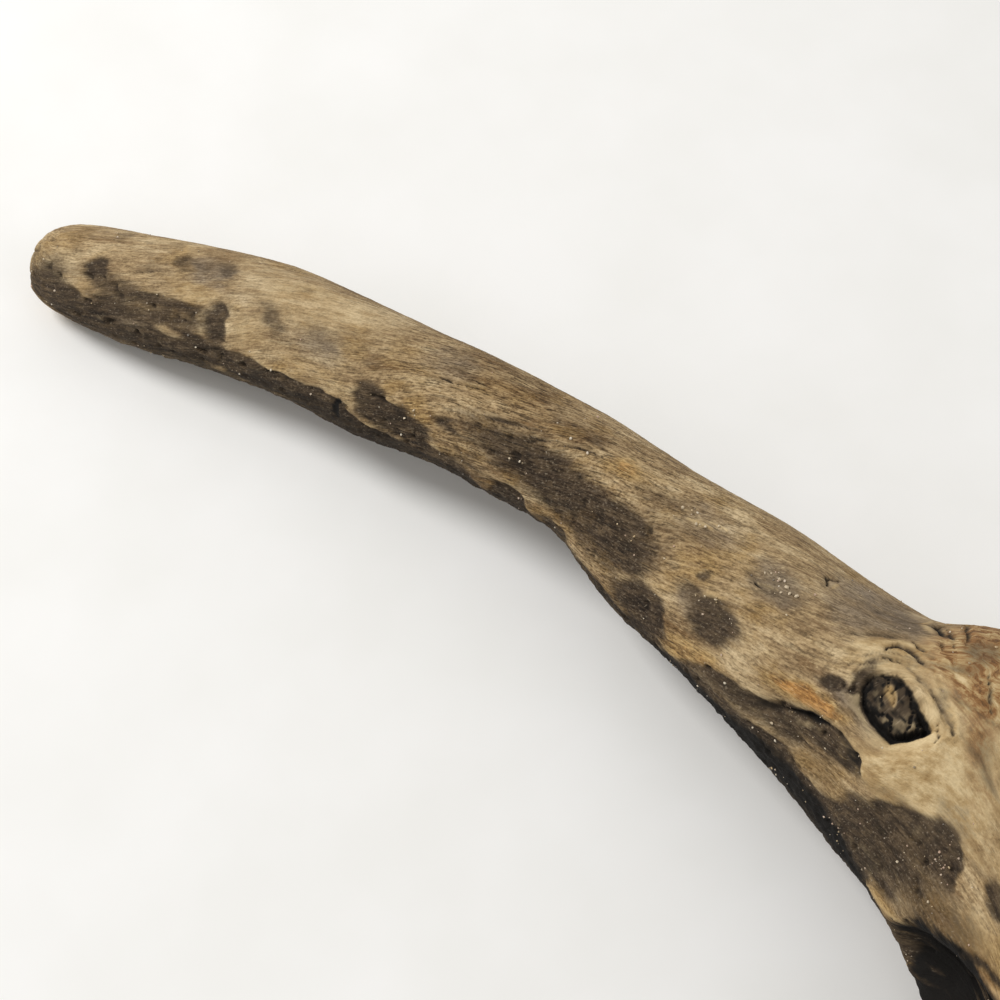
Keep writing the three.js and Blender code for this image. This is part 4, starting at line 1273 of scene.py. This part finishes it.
@dataclass
class SandGrains:
    """Single grains of beach sand stuck in the dark, rough places of the wood."""

    count: int = 430
    smallest: float = 0.22
    largest: float = 0.66  # somewhat larger than most real grains, so that they show
    fineness: float = 2.6  # the higher, the more of them are small
    stand: float = 0.16  # how far a grain's middle stands above the wood, as a share of its size
    flattest: float = 0.6  # the least that a grain keeps of its size, each way
    chip_flattest: float = 0.35  # the same for a chip
    worn: float = 0.25  # how far each corner is in or out, as a share of the size
    chip_kind: float = 0.45  # the chips' place among the colours of the sand
    chips: tuple[tuple[float, float, float], ...] = (  # larger, flatter scraps: along, around and size
        (144.5, -4, 0.9),
        (146.2, -6.5, 0.6),
        (148.4, 0, 1.1),
        (150.2, -2.4, 0.7),
        (151.4, -9, 0.8),
        (160.2, 31, 0.9),
        (158.6, 33, 0.7),
        (163.6, -1.6, 0.8),
        (164.4, -3.4, 0.6),
        (166, -4, 1.0),
        (168, -2.6, 0.9),
        (169, 0, 1.2),
        (170, -1.4, 0.9),
        (168, 3, 0.7),
        (171, 12, 0.8),
        (227, 47, 0.9),
        (195.6, 41, 0.7),
        (91, 49, 0.8),
    )
    scatters: tuple[tuple[float, float, float], ...] = (  # more grains here: along, around and reach
        (146, -5, 2.0),
        (150, -2, 2.2),
        (166, -2, 3.5),
        (160, 31, 1.8),
        (90, 50, 2.5),
        (222, 30, 5),
    )
    seed: int = 5

    def build(self, wood: Driftwood) -> bpy.types.Object:
        """Builds the grains as one piece.

        Args:
            wood: The finished wood, whose surface and stains say where they stick.

        Returns:
            The object.
        """
        rng = np.random.default_rng(self.seed)
        s = wood.surface
        places, normals = s.points().reshape(-1, 3), s.normals().reshape(-1, 3)
        chosen = rng.choice(len(places), self.count, replace=False, p=self.hold(wood, places, normals))
        ball, faces = self.round_grain()
        sizes = self.smallest + (self.largest - self.smallest) * rng.random(self.count) ** self.fineness
        stuck = [(int(np.hypot(*s.from_place(a, r)).argmin()), size) for a, r, size in self.chips]
        points, kinds, triangles = [], [], []
        for n, (index, size) in enumerate([*zip(chosen, sizes), *stuck]):
            chip = n >= self.count
            stretch = rng.uniform(self.chip_flattest if chip else self.flattest, 1.0, 3)
            angle = rng.uniform(0, math.tau)
            turn = np.array(Matrix.Rotation(angle, 3, Vector(unit(rng.normal(size=3)))))
            rough = ball * (1 + rng.uniform(-self.worn, self.worn, (len(ball), 1)))
            grain = (rough * stretch * size / 2) @ turn.T
            points.append(grain + places[index] + normals[index] * size * self.stand)
            triangles.append(faces + n * len(ball))
            kinds.append(np.full(len(ball), self.chip_kind if chip else rng.random()))
        data = bpy.data.meshes.new("sand_grains")
        data.from_pydata((np.vstack(points) * MM).tolist(), [], np.vstack(triangles).tolist())
        kind = data.attributes.new("kind", "FLOAT", "POINT")
        kind.data.foreach_set("value", np.concatenate(kinds).astype(np.float32))
        made = bpy.data.objects.new("sand_grains", data)
        bpy.context.scene.collection.objects.link(made)
        return made

    def hold(self, wood: Driftwood, places: np.ndarray, normals: np.ndarray) -> np.ndarray:
        """Works out how likely a grain is to stick at each point.

        Args:
            wood: The finished wood.
            places: Every point of its surface.
            normals: The outward directions there.

        Returns:
            The chances, which add up to 1: high in the stains and clumped, low on black and none underneath.
        """
        s = wood.surface
        stain = wood.tints[Tint.STAIN] + 0.12  # bare wood holds a few
        clump = smooth(wood.noise.at(s.points() / 6.0 + 9.0), -0.2, 0.6)
        for along, around, reach in self.scatters:
            near = smooth(np.hypot(*s.from_place(along, around)), reach, reach * 0.3)
            clump = clump + 4.0 * near
            stain = stain + 0.4 * near
        black = np.clip(wood.tints[Tint.PITCH], 0, 1)
        hold = (stain * (0.15 + clump) * s.per_degree * (1 - 0.85 * black)).ravel()
        facing, lowest = -0.5, 1.5  # none underneath, nor so low that the ground would have rubbed it off
        hold[(normals[:, 2] < facing) | (places[:, 2] < lowest)] = 0.0
        return hold / hold.sum()

    def round_grain(self) -> tuple[np.ndarray, np.ndarray]:
        """Makes a ball, from which each grain is broken.

        Returns:
            Its corners and its triangles.
        """
        seed_shape = bmesh.new()
        bmesh.ops.create_icosphere(seed_shape, subdivisions=1, radius=1.0)
        ball = np.array([v.co[:] for v in seed_shape.verts])
        faces = np.array([[v.index for v in f.verts] for f in seed_shape.faces])
        seed_shape.free()
        return ball, faces


# ---- The studio ----


@dataclass(frozen=True)
class Lamp:
    """One soft round lamp that faces the wood."""

    name: str
    right: float  # how far it hangs along the camera's right
    up: float  # the same along its up
    back: float  # the same towards it
    size: float
    watts: float


@dataclass
class Studio:
    """The floor, the light and the camera."""

    target: tuple[float, float, float] = (-37.8, 10.8, 15.0)
    azimuth: float = 45.0
    elevation: float = 60.0
    distance: float = 400.0
    lens: float = 80.0
    film: float = 36.0
    floor_size: float = 9000.0
    lamps: tuple[Lamp, ...] = (
        Lamp("key", -620, 620, 520, 420, 6.8),  # to the upper left
        Lamp("fill", 800, -150, 650, 900, 1.4),  # weak, to the right
    )
    sky_colour: str = "#fbfaf7"
    sky: float = 0.55

    def directions(self) -> tuple[Vector, Vector, Vector]:
        """Gives the camera's own directions.

        Returns:
            Its right, its up, and the way back to it from the wood, each of length 1.
        """
        a, e = math.radians(self.azimuth), math.radians(self.elevation)
        back = Vector((math.sin(a) * math.cos(e), -math.cos(a) * math.cos(e), math.sin(e)))
        right = Vector((math.cos(a), math.sin(a), 0.0))
        return right, back.cross(right), back

    def build_floor(self) -> bpy.types.Object:
        """Builds the floor.

        Returns:
            The floor.
        """
        half = self.floor_size * MM / 2
        sheet = bmesh.new()
        corners = ((-half, -half), (half, -half), (half, half), (-half, half))
        sheet.faces.new([sheet.verts.new((x, y, 0.0)) for x, y in corners])
        data = bpy.data.meshes.new("floor")
        sheet.to_mesh(data)
        sheet.free()
        data.materials.append(StudioPaper().make())
        made = bpy.data.objects.new("floor", data)
        bpy.context.scene.collection.objects.link(made)
        return made

    def hang(self, lamp: Lamp) -> None:
        """Hangs one lamp.

        Args:
            lamp: The lamp.
        """
        right, up, back = self.directions()
        light = bpy.data.lights.new(lamp.name, "AREA")
        light.shape, light.size, light.energy = "DISK", lamp.size * MM, lamp.watts
        hung = bpy.data.objects.new(lamp.name, light)
        bpy.context.scene.collection.objects.link(hung)
        offset = right * lamp.right + up * lamp.up + back * lamp.back
        hung.location = (Vector(self.target) + offset) * MM
        hung.rotation_euler = offset.to_track_quat("Z", "Y").to_euler()

    def build_lights(self) -> None:
        """Hangs the lamps under a pale sky."""
        for lamp in self.lamps:
            self.hang(lamp)
        world = bpy.data.worlds.new("pale")
        bpy.context.scene.world = world
        world.use_nodes = True
        background = world.node_tree.nodes["Background"]
        background.inputs["Color"].default_value = linear(self.sky_colour)
        background.inputs["Strength"].default_value = self.sky

    def build_camera(self) -> None:
        """Places the camera."""
        lens = bpy.data.cameras.new("camera")
        lens.lens, lens.sensor_width = self.lens, self.film
        lens.clip_start, lens.clip_end = 10 * MM, 100_000 * MM
        camera = bpy.data.objects.new("camera", lens)
        bpy.context.scene.collection.objects.link(camera)
        _, _, back = self.directions()
        camera.location = (Vector(self.target) + back * self.distance) * MM
        camera.rotation_euler = back.to_track_quat("Z", "Y").to_euler()
        bpy.context.scene.camera = camera


def main() -> None:
    """Builds the studio, the wood and its sand."""
    logging.basicConfig(level=logging.INFO, format="%(name)s: %(message)s")
    bpy.context.scene.view_settings.view_transform = "Standard"
    studio = Studio()
    studio.build_camera()
    studio.build_lights()
    studio.build_floor()

    wood = Driftwood()
    limb = wood.build(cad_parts["driftwood"].data)
    limb.data.materials.append(WeatheredWood().make())
    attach(limb, "root")
    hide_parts("driftwood")
    log.info("%s: %d faces", limb.name, len(limb.data.polygons))

    sand = SandGrains().build(wood)
    sand.data.materials.append(QuartzSand().make())
    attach(sand, "root")
    log.info("%s: %d faces", sand.name, len(sand.data.polygons))


if __name__ == "__main__":
    main()
